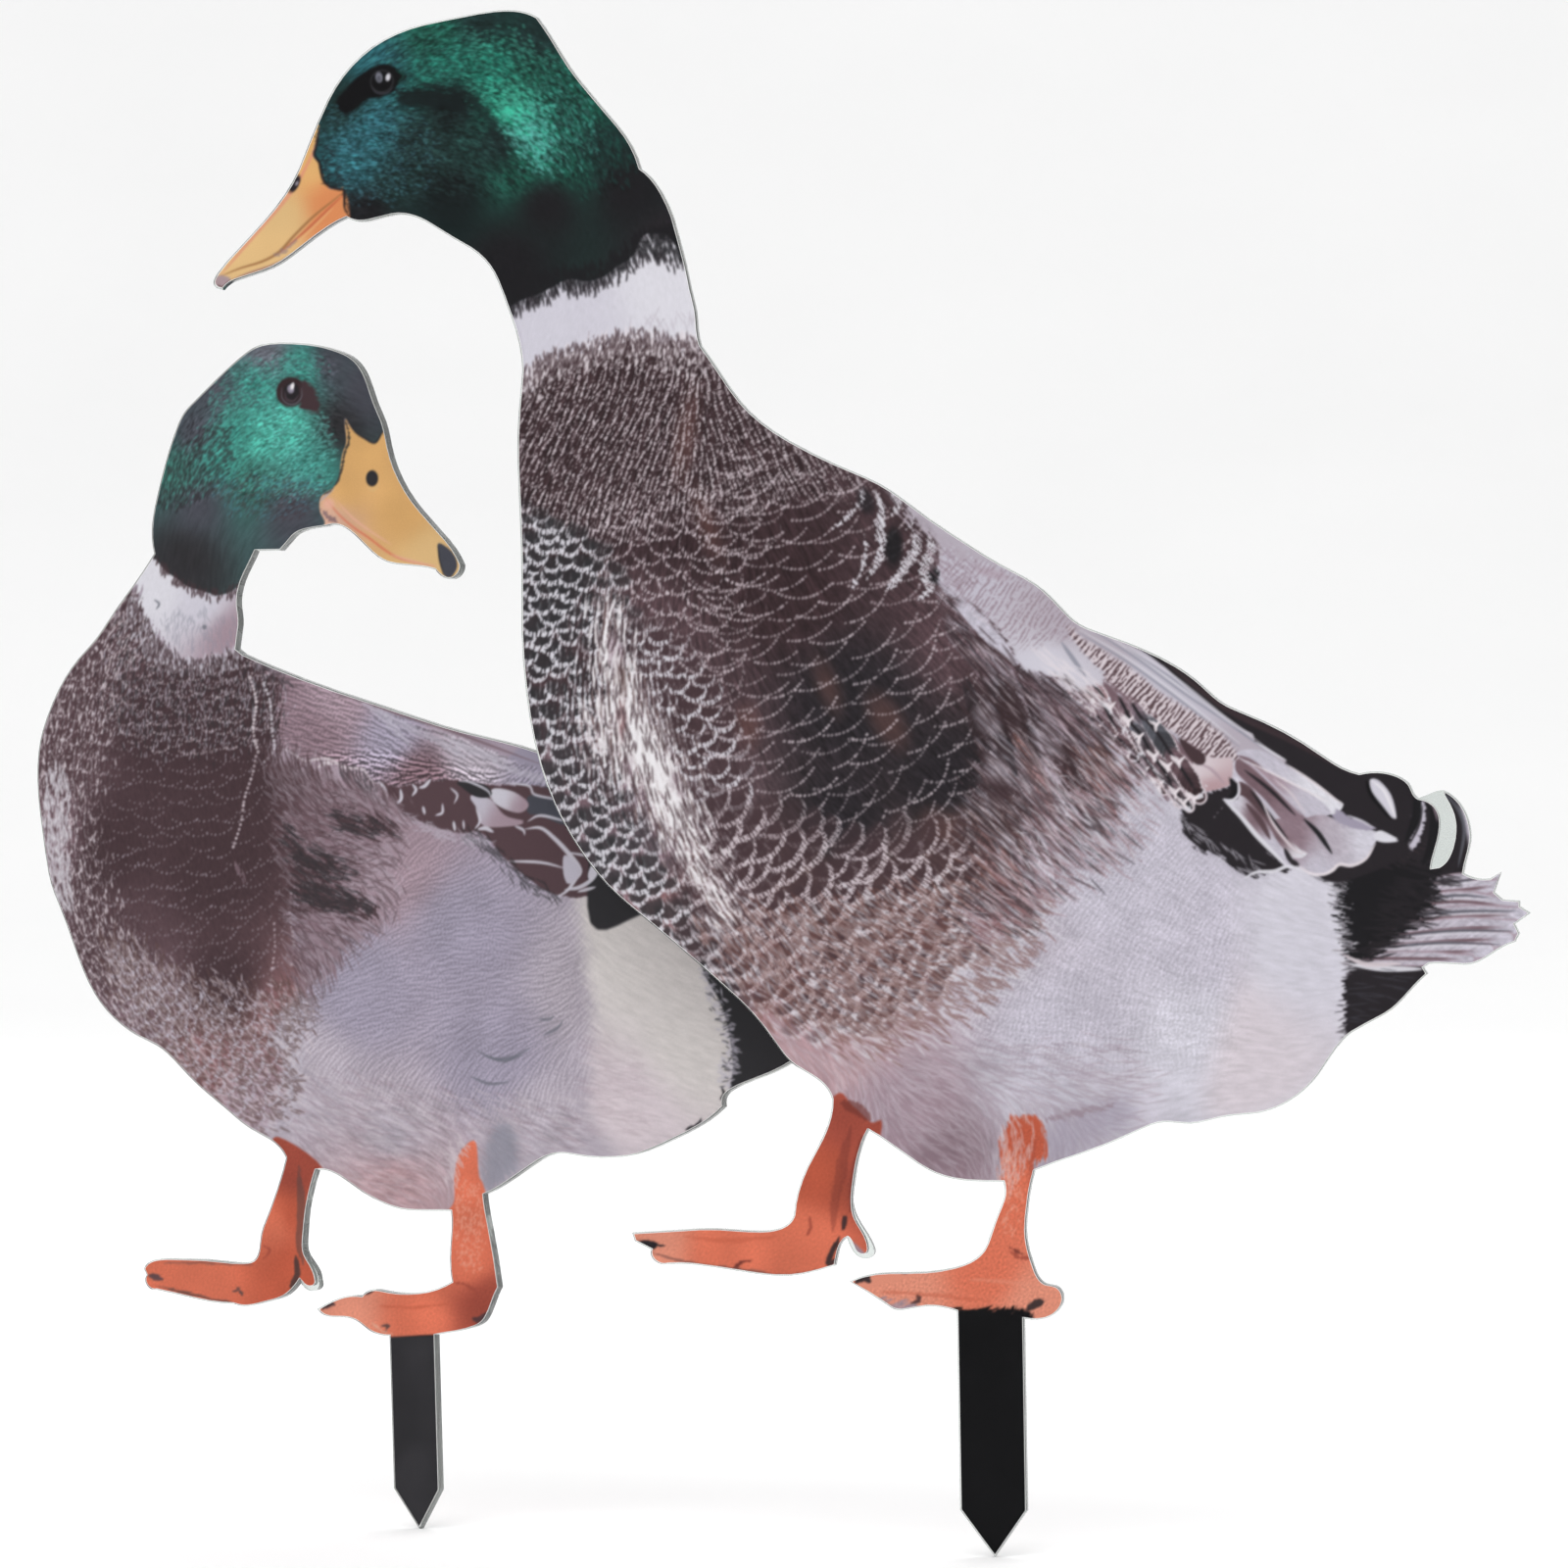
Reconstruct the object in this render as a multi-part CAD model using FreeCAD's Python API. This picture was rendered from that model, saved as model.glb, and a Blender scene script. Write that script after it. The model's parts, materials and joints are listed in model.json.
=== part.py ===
import FreeCAD, Part
import math
import os

# A pair of flat mallard drakes that stand in a lawn or a flower bed. Each duck is one
# piece of clear acrylic sheet, laser-cut to the outline of the bird together with a
# pointed spike, and printed on both faces: a white base first, then the colours.
#
# Millimetres, +Z up. The origin is the point of the large duck's spike, in the front
# face of its sheet. The large duck lies in the XZ plane, with its front towards -Y.
# The small duck stands behind it on the left, turned about its own spike.

SHEET = 2.0             # thickness of the acrylic
INK = 0.1               # thickness of one layer of ink
CLEAR_RIM = 0.35        # bare acrylic outside the printed outline
BASE_RIM = 0.12         # white base that shows outside the colours
MITRE_LIMIT = 2.0       # longest corner of a shifted outline, as a multiple of the shift

SMALL_PLACE = (-127.7, 35.0, 0.0)   # where the small duck's spike stands
SMALL_TURN = -14.0                  # its turn about +Z, in degrees, tail end forward

# A spike's taper narrows from two shoulders, whose middle lies a little left of its point.
LARGE_SPIKE = {"middle": -0.3, "half_width": 6.5, "taper": 9.0}
SMALL_SPIKE = {"middle": -0.6, "half_width": 5.0, "taper": 7.8}


def spike_point(spike):
    """Lowest printed point of a spike, so that the cut point comes out at z = 0."""
    side = math.hypot(spike["half_width"], spike["taper"])
    return (0.0, CLEAR_RIM * side / spike["half_width"])


def shoulder(spike, side):
    """Where the straight edge of a spike meets its taper: side is 1 or -1."""
    across = spike["middle"] + side * spike["half_width"]
    return (across, spike_point(spike)[1] + spike["taper"])


# The printed outlines, anticlockwise seen from the front, from the point of the spike.
# Each run starts where the one before ends: one point is a straight edge, more points
# are a smooth curve, and the end of a run is a corner.

def large_outline(is_cut):
    """The large duck. The cut line crosses the open crescent beside the tail curls."""
    if is_cut:
        curls = [[(89.3, 155.1), (87.6, 154.4), (86.0, 153.8)]]
        hind_toe = [[(-29.3, 62.6), (-27.8, 61.0), (-25.8, 60.9), (-25.2, 62.0)],
                    [(-26.7, 65.2), (-29.0, 69.0), (-29.7, 71.5), (-29.5, 75.0),
                     (-28.9, 79.0), (-27.6, 84.0), (-26.2, 87.0)]]
    else:
        curls = [[(92.4, 153.0), (93.5, 150.0), (93.6, 146.8), (92.9, 143.6),
                  (91.6, 141.2), (90.2, 140.1)],
                 [(88.2, 139.8)],
                 [(89.2, 144.0), (90.1, 148.0), (89.9, 150.8), (88.8, 152.6),
                  (87.3, 153.5), (86.0, 153.8)]]
        hind_toe = [[(-29.0, 63.2), (-28.1, 61.7), (-27.0, 61.4), (-26.3, 62.4)],
                    [(-27.3, 65.4), (-29.2, 68.8), (-29.7, 71.5), (-29.5, 75.0),
                     (-28.9, 79.0), (-27.6, 84.0), (-26.2, 87.0)]]
    spike = [
        [shoulder(LARGE_SPIKE, 1)],
        [(5.6, 48.9)],
    ]
    near_leg_back = [
        [(9.0, 48.7), (11.4, 49.4), (13.1, 51.0), (13.6, 53.1), (12.5, 54.8),
         (10.1, 55.4), (8.4, 57.1), (7.5, 59.3), (6.5, 62.5), (6.0, 66.0), (6.2, 70.0),
         (6.8, 74.5), (7.8, 78.8)],
    ]
    belly_and_rump = [
        [(13.0, 80.8), (21.0, 83.6), (29.0, 87.1), (34.0, 88.9), (40.0, 88.7),
         (47.0, 90.2), (54.0, 91.0), (59.5, 93.2), (65.3, 98.3), (67.5, 101.6),
         (72.3, 107.2)],
        [(76.6, 109.6), (80.6, 112.0), (84.3, 115.8), (87.4, 118.9)],
        [(86.6, 120.2)],
        [(88.0, 121.2)],
    ]
    tail = [
        [(92.5, 121.2), (97.0, 121.3), (100.7, 123.3), (105.2, 125.6)],
        [(105.9, 127.0)],
        [(104.9, 129.0)],
        [(107.9, 131.1)],
        [(106.0, 132.3)],
        [(106.0, 133.3)],
        [(102.8, 133.5)],
        [(100.9, 135.2)],
        [(102.4, 139.1)],
        [(100.5, 137.7)],
        [(97.5, 137.8), (94.7, 138.9)],
        [(95.5, 142.5), (96.2, 146.0), (95.8, 149.4), (94.6, 152.2), (92.9, 154.2),
         (91.0, 155.4)],
    ]
    back = [
        [(84.8, 154.9), (84.0, 156.6), (82.4, 158.0), (80.0, 158.9), (77.0, 159.2),
         (74.1, 158.8)],
        [(71.5, 159.6), (64.8, 163.7), (57.0, 168.3), (50.5, 171.2), (46.4, 173.1),
         (41.3, 177.4), (36.5, 180.8), (29.0, 184.5), (21.5, 187.3), (16.5, 189.5),
         (12.8, 193.0), (8.8, 196.8), (1.5, 201.0), (-7.0, 206.2), (-15.6, 212.0),
         (-23.3, 217.5), (-31.4, 221.2), (-39.4, 225.0), (-47.6, 230.0),
         (-52.0, 233.9), (-56.2, 239.4), (-61.2, 246.6)],
    ]
    neck_and_crown = [
        [(-61.9, 250.0), (-62.2, 253.6), (-63.2, 257.8), (-64.1, 262.2),
         (-65.5, 267.5), (-67.1, 273.2), (-69.0, 277.4), (-71.4, 280.9),
         (-73.7, 282.9)],
        [(-74.7, 285.8), (-76.8, 289.6), (-80.3, 293.9), (-84.4, 298.7),
         (-88.4, 303.8), (-91.8, 309.2), (-95.2, 314.2)],
        [(-97.5, 315.2), (-101.0, 315.7), (-105.0, 315.5), (-113.0, 314.2),
         (-121.5, 312.4), (-129.3, 308.8), (-134.2, 304.6), (-137.8, 299.8),
         (-140.2, 295.0), (-142.3, 290.2), (-144.9, 283.8), (-147.4, 279.3),
         (-154.6, 270.7), (-160.2, 264.9)],
        [(-162.3, 262.3), (-162.9, 260.7), (-161.5, 259.7)],
    ]
    bill_and_throat = [
        [(-160.0, 261.0), (-158.0, 261.8), (-150.5, 264.3), (-146.3, 267.0),
         (-140.0, 271.6), (-135.1, 274.2)],
        [(-132.0, 273.3), (-128.5, 273.9), (-124.2, 274.7), (-119.8, 273.8),
         (-113.1, 269.9), (-108.0, 266.9), (-104.5, 263.4), (-102.2, 258.8),
         (-100.9, 255.3), (-99.2, 250.6), (-98.0, 245.5), (-97.7, 242.0)],
    ]
    breast = [
        [(-98.2, 236.5), (-98.7, 229.0), (-98.6, 220.0), (-98.0, 207.0),
         (-97.9, 196.0), (-97.8, 186.0), (-97.1, 177.5), (-95.8, 168.5),
         (-93.6, 159.8), (-90.3, 151.4), (-85.7, 143.6), (-80.0, 136.5),
         (-72.0, 129.6), (-63.1, 122.3), (-55.7, 115.9), (-50.4, 111.0),
         (-45.5, 105.0), (-41.6, 100.3), (-37.5, 97.8), (-35.0, 95.9),
         (-33.2, 92.8)],
    ]
    far_leg = [
        [(-33.7, 88.8), (-35.4, 84.4), (-38.4, 78.8), (-40.3, 73.8), (-41.1, 69.0)],
        [(-42.6, 66.9), (-45.5, 65.7), (-50.0, 65.4), (-57.5, 65.8), (-66.0, 65.4),
         (-74.6, 64.8)],
        [(-74.2, 63.6)],
        [(-70.7, 61.9)],
        [(-70.8, 60.7), (-69.9, 59.5), (-67.7, 59.1)],
        [(-57.5, 58.5), (-46.0, 57.0), (-42.0, 57.0), (-38.0, 57.7), (-33.2, 59.1)],
        [(-32.7, 61.6), (-31.8, 63.8), (-30.3, 65.0)],
    ] + hind_toe
    near_leg_front = [
        [(-23.3, 85.3), (-16.2, 80.4), (-12.0, 78.1), (-8.0, 77.0), (-3.0, 76.6),
         (2.0, 76.6)],
        [(2.2, 73.0), (0.9, 69.6), (-0.6, 65.3), (-2.1, 62.0), (-4.7, 59.8),
         (-8.5, 58.4), (-15.0, 57.4), (-24.5, 57.0), (-29.4, 55.6)],
        [(-25.4, 53.4), (-21.8, 51.1)],
        [(-20.0, 50.3), (-17.6, 50.5), (-14.0, 51.1), (-10.0, 50.8), (-7.5, 50.1)],
    ]
    return (spike + near_leg_back + belly_and_rump + tail + curls + back
            + neck_and_crown + bill_and_throat + breast + far_leg + near_leg_front
            + [[shoulder(LARGE_SPIKE, -1)], [spike_point(LARGE_SPIKE)]])


def small_outline(is_cut):
    """The small duck, in the same way, in the plane of its own sheet."""
    if is_cut:
        hind_toe = [[(-27.4, 50.7), (-25.6, 49.8), (-24.4, 50.3), (-24.3, 51.6)],
                    [(-25.6, 54.8), (-27.5, 57.5), (-27.7, 61.0), (-27.2, 66.5),
                     (-26.2, 71.0), (-24.8, 75.4)]]
    else:
        hind_toe = [[(-27.2, 51.1), (-26.0, 50.6), (-25.1, 50.9), (-24.9, 51.8)],
                    [(-26.1, 54.8), (-27.7, 57.5), (-27.8, 61.0), (-27.2, 66.5),
                     (-26.2, 71.0), (-24.8, 75.4)]]
    spike = [
        [shoulder(SMALL_SPIKE, 1)],
        [(3.4, 41.2)],
    ]
    near_leg_back = [
        [(8.3, 42.1), (12.3, 43.1), (14.6, 44.3), (15.9, 46.2), (17.0, 48.8),
         (18.3, 51.5)],
        [(17.6, 56.0), (16.6, 61.4), (15.6, 66.0), (14.8, 71.0)],
    ]
    belly_and_rump = [
        [(21.1, 74.3), (26.0, 77.5), (29.0, 79.2), (32.2, 80.1), (38.0, 79.7),
         (45.0, 79.5), (50.0, 80.2), (57.4, 83.0), (66.0, 87.3), (70.0, 90.4)],
        [(70.4, 92.8), (72.4, 94.3), (80.3, 97.4), (85.8, 100.1), (90.4, 103.2),
         (94.2, 106.6)],
    ]
    tail = [
        [(92.8, 108.6)],
        [(99.0, 109.4), (104.0, 111.6), (108.2, 114.6)],
        [(107.2, 117.4)],
        [(110.0, 119.6)],
        [(107.8, 121.4)],
        [(108.4, 123.2)],
        [(104.6, 124.6)],
        [(105.4, 128.8)],
        [(99.5, 127.6), (95.6, 128.6)],
        [(97.2, 133.5), (97.6, 138.5), (95.8, 143.0), (92.0, 145.6)],
        [(90.0, 145.9), (88.0, 145.0)],
    ]
    back = [
        [(85.6, 147.4), (82.0, 149.4), (77.0, 150.2), (71.5, 149.6)],
        [(64.0, 151.6), (54.0, 154.8), (44.0, 158.0), (36.0, 160.6), (27.8, 163.4),
         (21.3, 165.2), (12.2, 167.2), (2.8, 169.6), (-6.4, 172.4), (-18.0, 175.8),
         (-29.7, 179.6), (-42.3, 184.4)],
    ]
    neck_and_bill = [
        [(-44.1, 185.7)],
        [(-43.6, 189.0), (-43.3, 192.0), (-43.7, 195.0), (-43.5, 198.0),
         (-42.8, 200.3), (-41.4, 203.1), (-39.3, 207.0)],
        [(-33.2, 207.0)],
        [(-31.6, 208.6), (-29.8, 210.3), (-26.1, 211.5), (-22.1, 212.0)],
        [(-18.0, 211.8), (-15.9, 210.6), (-13.2, 208.3), (-10.6, 206.0),
         (-8.0, 204.4), (-3.5, 203.5), (0.7, 203.1), (4.0, 202.4)],
        [(5.4, 201.1), (7.3, 200.5), (8.9, 201.4), (9.4, 203.2)],
        [(6.9, 207.1), (3.7, 210.5), (0.0, 214.3), (-3.0, 217.9), (-4.9, 220.9),
         (-6.5, 224.2), (-7.6, 227.6), (-8.4, 231.2), (-9.2, 233.7), (-10.6, 236.6),
         (-12.4, 241.3), (-14.0, 244.6), (-16.2, 246.9), (-19.6, 248.5),
         (-24.0, 249.7), (-30.0, 250.4), (-35.0, 250.5), (-38.8, 249.8),
         (-42.0, 248.0), (-47.0, 244.2), (-53.4, 238.7), (-56.1, 236.1),
         (-57.9, 232.8), (-60.6, 225.4), (-62.5, 218.7), (-63.8, 211.8),
         (-63.2, 206.3)],
    ]
    breast = [
        [(-65.2, 203.5), (-68.5, 199.3), (-73.0, 193.9), (-77.4, 188.2),
         (-82.0, 183.6), (-86.0, 178.4), (-89.1, 172.4), (-91.2, 166.3),
         (-91.9, 160.0), (-91.7, 154.4), (-90.9, 148.2), (-89.7, 140.6),
         (-88.4, 135.2), (-86.0, 129.8), (-83.3, 123.3), (-80.0, 115.7),
         (-76.2, 109.9), (-71.8, 105.9), (-66.8, 103.0), (-62.2, 101.0),
         (-58.4, 98.1), (-53.3, 93.4), (-46.9, 88.7), (-39.7, 83.7),
         (-34.0, 80.8), (-31.3, 77.6)],
    ]
    far_leg = [
        [(-33.2, 71.6), (-35.6, 65.5), (-37.4, 60.8), (-37.9, 57.4), (-39.0, 55.5),
         (-42.0, 54.7), (-51.0, 55.1), (-58.5, 55.1), (-62.6, 54.9), (-64.8, 54.1),
         (-65.7, 53.1)],
        [(-65.0, 51.8)],
        [(-65.4, 50.6), (-64.8, 49.5), (-63.0, 49.0)],
        [(-58.2, 48.2), (-52.0, 47.1), (-44.2, 46.5)],
        [(-41.3, 46.1), (-36.5, 47.1), (-32.4, 48.4), (-30.3, 50.0), (-28.4, 52.4)],
    ] + hind_toe
    near_leg_front = [
        [(-21.8, 75.4), (-18.4, 74.1), (-14.0, 71.4), (-9.0, 69.0), (-4.5, 67.7),
         (0.0, 67.4), (7.8, 67.5)],
        [(8.0, 64.0), (7.7, 60.0), (7.6, 56.0), (8.1, 52.2)],
        [(5.5, 50.9), (1.9, 49.8), (-2.5, 49.3), (-7.5, 49.5), (-11.2, 49.8),
         (-13.4, 48.4)],
        [(-17.5, 48.2), (-20.2, 47.3), (-23.6, 45.6)],
        [(-22.3, 44.7), (-17.6, 44.4), (-14.6, 43.7), (-11.3, 41.6), (-9.4, 41.0),
         (-6.7, 40.8)],
    ]
    return (spike + near_leg_back + belly_and_rump + tail + back + neck_and_bill
            + breast + far_leg + near_leg_front
            + [[shoulder(SMALL_SPIKE, -1)], [spike_point(SMALL_SPIKE)]])


def normal(start, end):
    """Unit vector out of an anticlockwise outline, square to one of its chords."""
    length = math.dist(start, end)
    return ((end[1] - start[1]) / length, (start[0] - end[0]) / length)


def shifted(runs, shift):
    """The same runs with every point moved outward, and mitred at the corners."""
    points = [point for run in runs for point in run]
    moved = []
    for index, point in enumerate(points):
        before = normal(points[index - 1], point)
        after = normal(point, points[(index + 1) % len(points)])
        cosine = before[0] * after[0] + before[1] * after[1]
        reach = shift / max(1.0 + cosine, 2.0 / MITRE_LIMIT ** 2)
        moved.append((point[0] + reach * (before[0] + after[0]),
                      point[1] + reach * (before[1] + after[1])))
    result = []
    for run in runs:
        result.append(moved[:len(run)])
        moved = moved[len(run):]
    return result


def outline_wire(runs):
    """One closed wire in the XZ plane: straight edges and curves through the points."""
    edges = []
    start = runs[-1][-1]
    for run in runs:
        points = [FreeCAD.Vector(x, 0, z) for x, z in [start] + run]
        if len(points) == 2:
            edges.append(Part.LineSegment(*points).toShape())
        else:
            curve = Part.BSplineCurve()
            curve.interpolate(points)
            edges.append(curve.toShape())
        start = run[-1]
    return Part.Wire(edges)


def slab(runs, front, back):
    """The outline as a flat solid from the depth front to the depth back."""
    face = Part.Face(outline_wire(runs))
    face.translate(FreeCAD.Vector(0, front, 0))
    return face.extrude(FreeCAD.Vector(0, back - front, 0))


def duck_layers(outline):
    """The sheet of one duck and its four layers of ink, by name."""
    base = shifted(outline(False), BASE_RIM)
    colours = outline(False)
    return {
        "blank": slab(shifted(outline(True), CLEAR_RIM), 0, SHEET),
        "front_base": slab(base, -INK, 0),
        "front_print": slab(colours, -2 * INK, -INK),
        "back_base": slab(base, SHEET, SHEET + INK),
        "back_print": slab(colours, SHEET + INK, SHEET + 2 * INK),
    }


def stand_in_place(solid):
    """Turn and move a piece of the small duck to where its spike stands."""
    solid.rotate(FreeCAD.Vector(0, 0, 0), FreeCAD.Vector(0, 0, 1), SMALL_TURN)
    solid.translate(FreeCAD.Vector(*SMALL_PLACE))


def save(name, solid):
    solid.exportStep("parts/" + name + ".step")
    box = solid.BoundBox
    print(f"{name}: valid {solid.isValid()}, {solid.Volume:.0f} mm3,"
          f" x {box.XMin:.1f} {box.XMax:.1f}, y {box.YMin:.1f} {box.YMax:.1f},"
          f" z {box.ZMin:.2f} {box.ZMax:.1f}")


def main():
    os.makedirs("parts", exist_ok=True)
    for layer, solid in duck_layers(large_outline).items():
        save("large_duck_" + layer, solid)
    for layer, solid in duck_layers(small_outline).items():
        stand_in_place(solid)
        save("small_duck_" + layer, solid)


main()
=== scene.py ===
import json
import math

import bpy
import numpy as np
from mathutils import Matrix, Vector


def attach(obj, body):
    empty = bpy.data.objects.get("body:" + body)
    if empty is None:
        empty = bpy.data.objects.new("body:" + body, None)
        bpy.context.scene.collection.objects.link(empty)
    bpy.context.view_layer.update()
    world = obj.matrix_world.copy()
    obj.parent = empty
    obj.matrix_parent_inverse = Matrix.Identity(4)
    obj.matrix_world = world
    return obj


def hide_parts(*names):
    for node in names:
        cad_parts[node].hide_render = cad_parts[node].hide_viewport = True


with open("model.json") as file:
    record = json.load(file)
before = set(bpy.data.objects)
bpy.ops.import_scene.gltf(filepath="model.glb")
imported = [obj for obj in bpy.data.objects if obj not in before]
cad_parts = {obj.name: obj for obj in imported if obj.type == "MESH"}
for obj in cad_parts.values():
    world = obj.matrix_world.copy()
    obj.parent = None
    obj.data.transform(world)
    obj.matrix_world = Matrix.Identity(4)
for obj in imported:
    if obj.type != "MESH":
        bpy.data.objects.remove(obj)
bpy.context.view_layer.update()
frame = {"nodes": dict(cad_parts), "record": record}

MM = 0.001

# ---- The printing colours. Every stroke and every area of both pictures takes one of them.

BLACK = 0x0e0e10
INK = 0x1c1b1e
JET = 0x313033
SOOT = 0x282428
COAL = 0x38292c
UMBER = 0x463539
BARK = 0x574348
BROWN = 0x5c4644
RUSSET = 0x78524c
TAUPE = 0x765f67
DUSK = 0x8b757f
ROSEWOOD = 0x8e686b
MAUVE = 0xa48f9a
DOVE = 0x9f98aa
ROSE = 0xb4959a
LILAC = 0xb4abb6
MIST = 0xc2bdca
PEARL = 0xd0cdd8
SHELL = 0xd6cad0
FROST = 0xdcdae2
CREAM = 0xe6dde2
SNOW = 0xf0edf0
SLATE = 0x4a4b54
STEEL = 0x6a6c76
PEWTER = 0x8a8b98
IVORY = 0xd7d1cf

NIGHT = 0x141c1d
BOTTLE = 0x1c2f2e
PINE = 0x1c5345
MOSS = 0x3a625c
FOREST = 0x20705f
TEAL = 0x2c6068
JADE = 0x2b9277
SEA = 0x408c82
LAGOON = 0x5290a4
TURQUOISE = 0x52b8a6
MINT = 0x4fc0a4
SPRAY = 0x74d6cc

HONEY = 0xdfae70
BISCUIT = 0xe2bc84
PEACH = 0xdfb29c
AMBER = 0xdb8c5a
LEATHER = 0x9a6c44
MAROON = 0x6c322c
BRICK = 0x9c4a3c
RUST = 0xbc5a42
CORAL = 0xd97358
SALMON = 0xdf9078
BLUSH = 0xecb4a0


# ---- A picture: the colours of one duck's print, on a fine grid in the plane of its sheet.
# Its places and lengths are in millimetres from the point of the duck's spike.

CELL = 0.16             # between two points of a picture's grid
COARSE = 4              # distances to an edge are worked out on every fourth point
FIELD = 12              # colours and directions that change slowly, on every twelfth
MARGIN = 2.0            # grid outside the outline
FEATHER_ROOT = 0.15     # share of a feather over which its root fades in
BARB = 0.3              # between two barbs of a feather


def rgb(code):
    """A colour written as 0xRRGGBB."""
    return np.array([code >> 16, code >> 8 & 255, code & 255], np.float32) / 255


def smooth(value, start, end):
    """0 up to start, 1 from end on, and an even rise in between."""
    share = np.clip((value - start) / (end - start), 0, 1)
    return share * share * (3 - 2 * share)


def softened(field, times=1):
    """The field with each point mixed with its neighbours."""
    for _ in range(times):
        for axis in (0, 1):
            field = (np.roll(field, 1, axis) + 2 * field + np.roll(field, -1, axis)) / 4
    return field


def level(field):
    """The field with a mean of 0 and a spread of 1."""
    return ((field - field.mean()) / field.std()).astype(np.float32)


def enlarged(field, factor, shape):
    """A coarse field filled in between its points, up to a fine shape."""
    for axis in (0, 1):
        place = np.minimum(np.arange(shape[axis]) / factor, field.shape[axis] - 1.001)
        first = place.astype(int)
        share = (place - first).astype(np.float32)
        share = share.reshape([-1 if i == axis else 1 for i in range(field.ndim)])
        field = (np.take(field, first, axis) * (1 - share)
                 + np.take(field, first + 1, axis) * share)
    return field


def curve(points, closed=False, steps=5):
    """A smooth line through the points."""
    p = np.array(points, float)
    if len(p) < 3:
        return p
    ends = (p[-1:], p[:2]) if closed else (2 * p[:1] - p[1:2], 2 * p[-1:] - p[-2:-1])
    q = np.concatenate([ends[0], p, ends[1]])
    t = np.linspace(0, 1, steps, endpoint=False)[:, None]
    runs = []
    for a, b, c, d in zip(q[:-3], q[1:-2], q[2:-1], q[3:]):
        runs.append(b + t * ((c - a) / 2 + t * (a - 2.5 * b + 2 * c - d / 2
                                               + t * (1.5 * (b - c) + (d - a) / 2))))
    if not closed:
        runs.append(p[-1:])
    return np.concatenate(runs)


def depth_in(ring, x, z):
    """How far inside a closed line each place is, and less than 0 outside it."""
    nearest = np.full(np.broadcast_shapes(x.shape, z.shape), np.inf, np.float32)
    inside = np.zeros(nearest.shape, bool)
    for (ax, az), (bx, bz) in zip(ring, np.roll(ring, -1, 0)):
        dx, dz = bx - ax, bz - az
        share = np.clip(((x - ax) * dx + (z - az) * dz) / (dx * dx + dz * dz + 1e-9), 0, 1)
        nearest = np.minimum(nearest, (x - ax - share * dx) ** 2 + (z - az - share * dz) ** 2)
        if az != bz:
            inside ^= ((z < az) != (z < bz)) & (x < ax + (z - az) * dx / (bz - az))
    return np.where(inside, 1, -1) * np.sqrt(nearest)


def beside(line, x, z):
    """Distance from a line, its side (1 left, -1 right), and the length run at the nearest point."""
    nearest = np.full(np.broadcast_shapes(x.shape, z.shape), np.inf, np.float32)
    side, run = np.ones_like(nearest), np.zeros_like(nearest)
    before = 0.0
    for (ax, az), (bx, bz) in zip(line[:-1], line[1:]):
        dx, dz = bx - ax, bz - az
        length = math.hypot(dx, dz) + 1e-9
        share = np.clip(((x - ax) * dx + (z - az) * dz) / length ** 2, 0, 1)
        away = (x - ax - share * dx) ** 2 + (z - az - share * dz) ** 2
        closer = away < nearest
        nearest = np.where(closer, away, nearest)
        side = np.where(closer, np.sign(dx * (z - az) - dz * (x - ax)), side)
        run = np.where(closer, before + share * length, run)
        before += length
    return np.sqrt(nearest), side, run, before


def mixed(anchors, x, z, blur):
    """Values given at a few places, blended in between: anchors are (x, z, value)."""
    total = 0.0
    weights = 0.0
    for ax, az, value in anchors:
        weight = ((x - ax) ** 2 + (z - az) ** 2 + blur ** 2) ** -2.0
        weights = weights + weight
        total = total + weight[..., None] * np.asarray(value, np.float32)
    return (total / weights[..., None]).astype(np.float32)


def turned(way, degrees):
    """A direction turned anticlockwise."""
    c, s = math.cos(math.radians(degrees)), math.sin(math.radians(degrees))
    return np.array([way[0] * c - way[1] * s, way[0] * s + way[1] * c])


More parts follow.
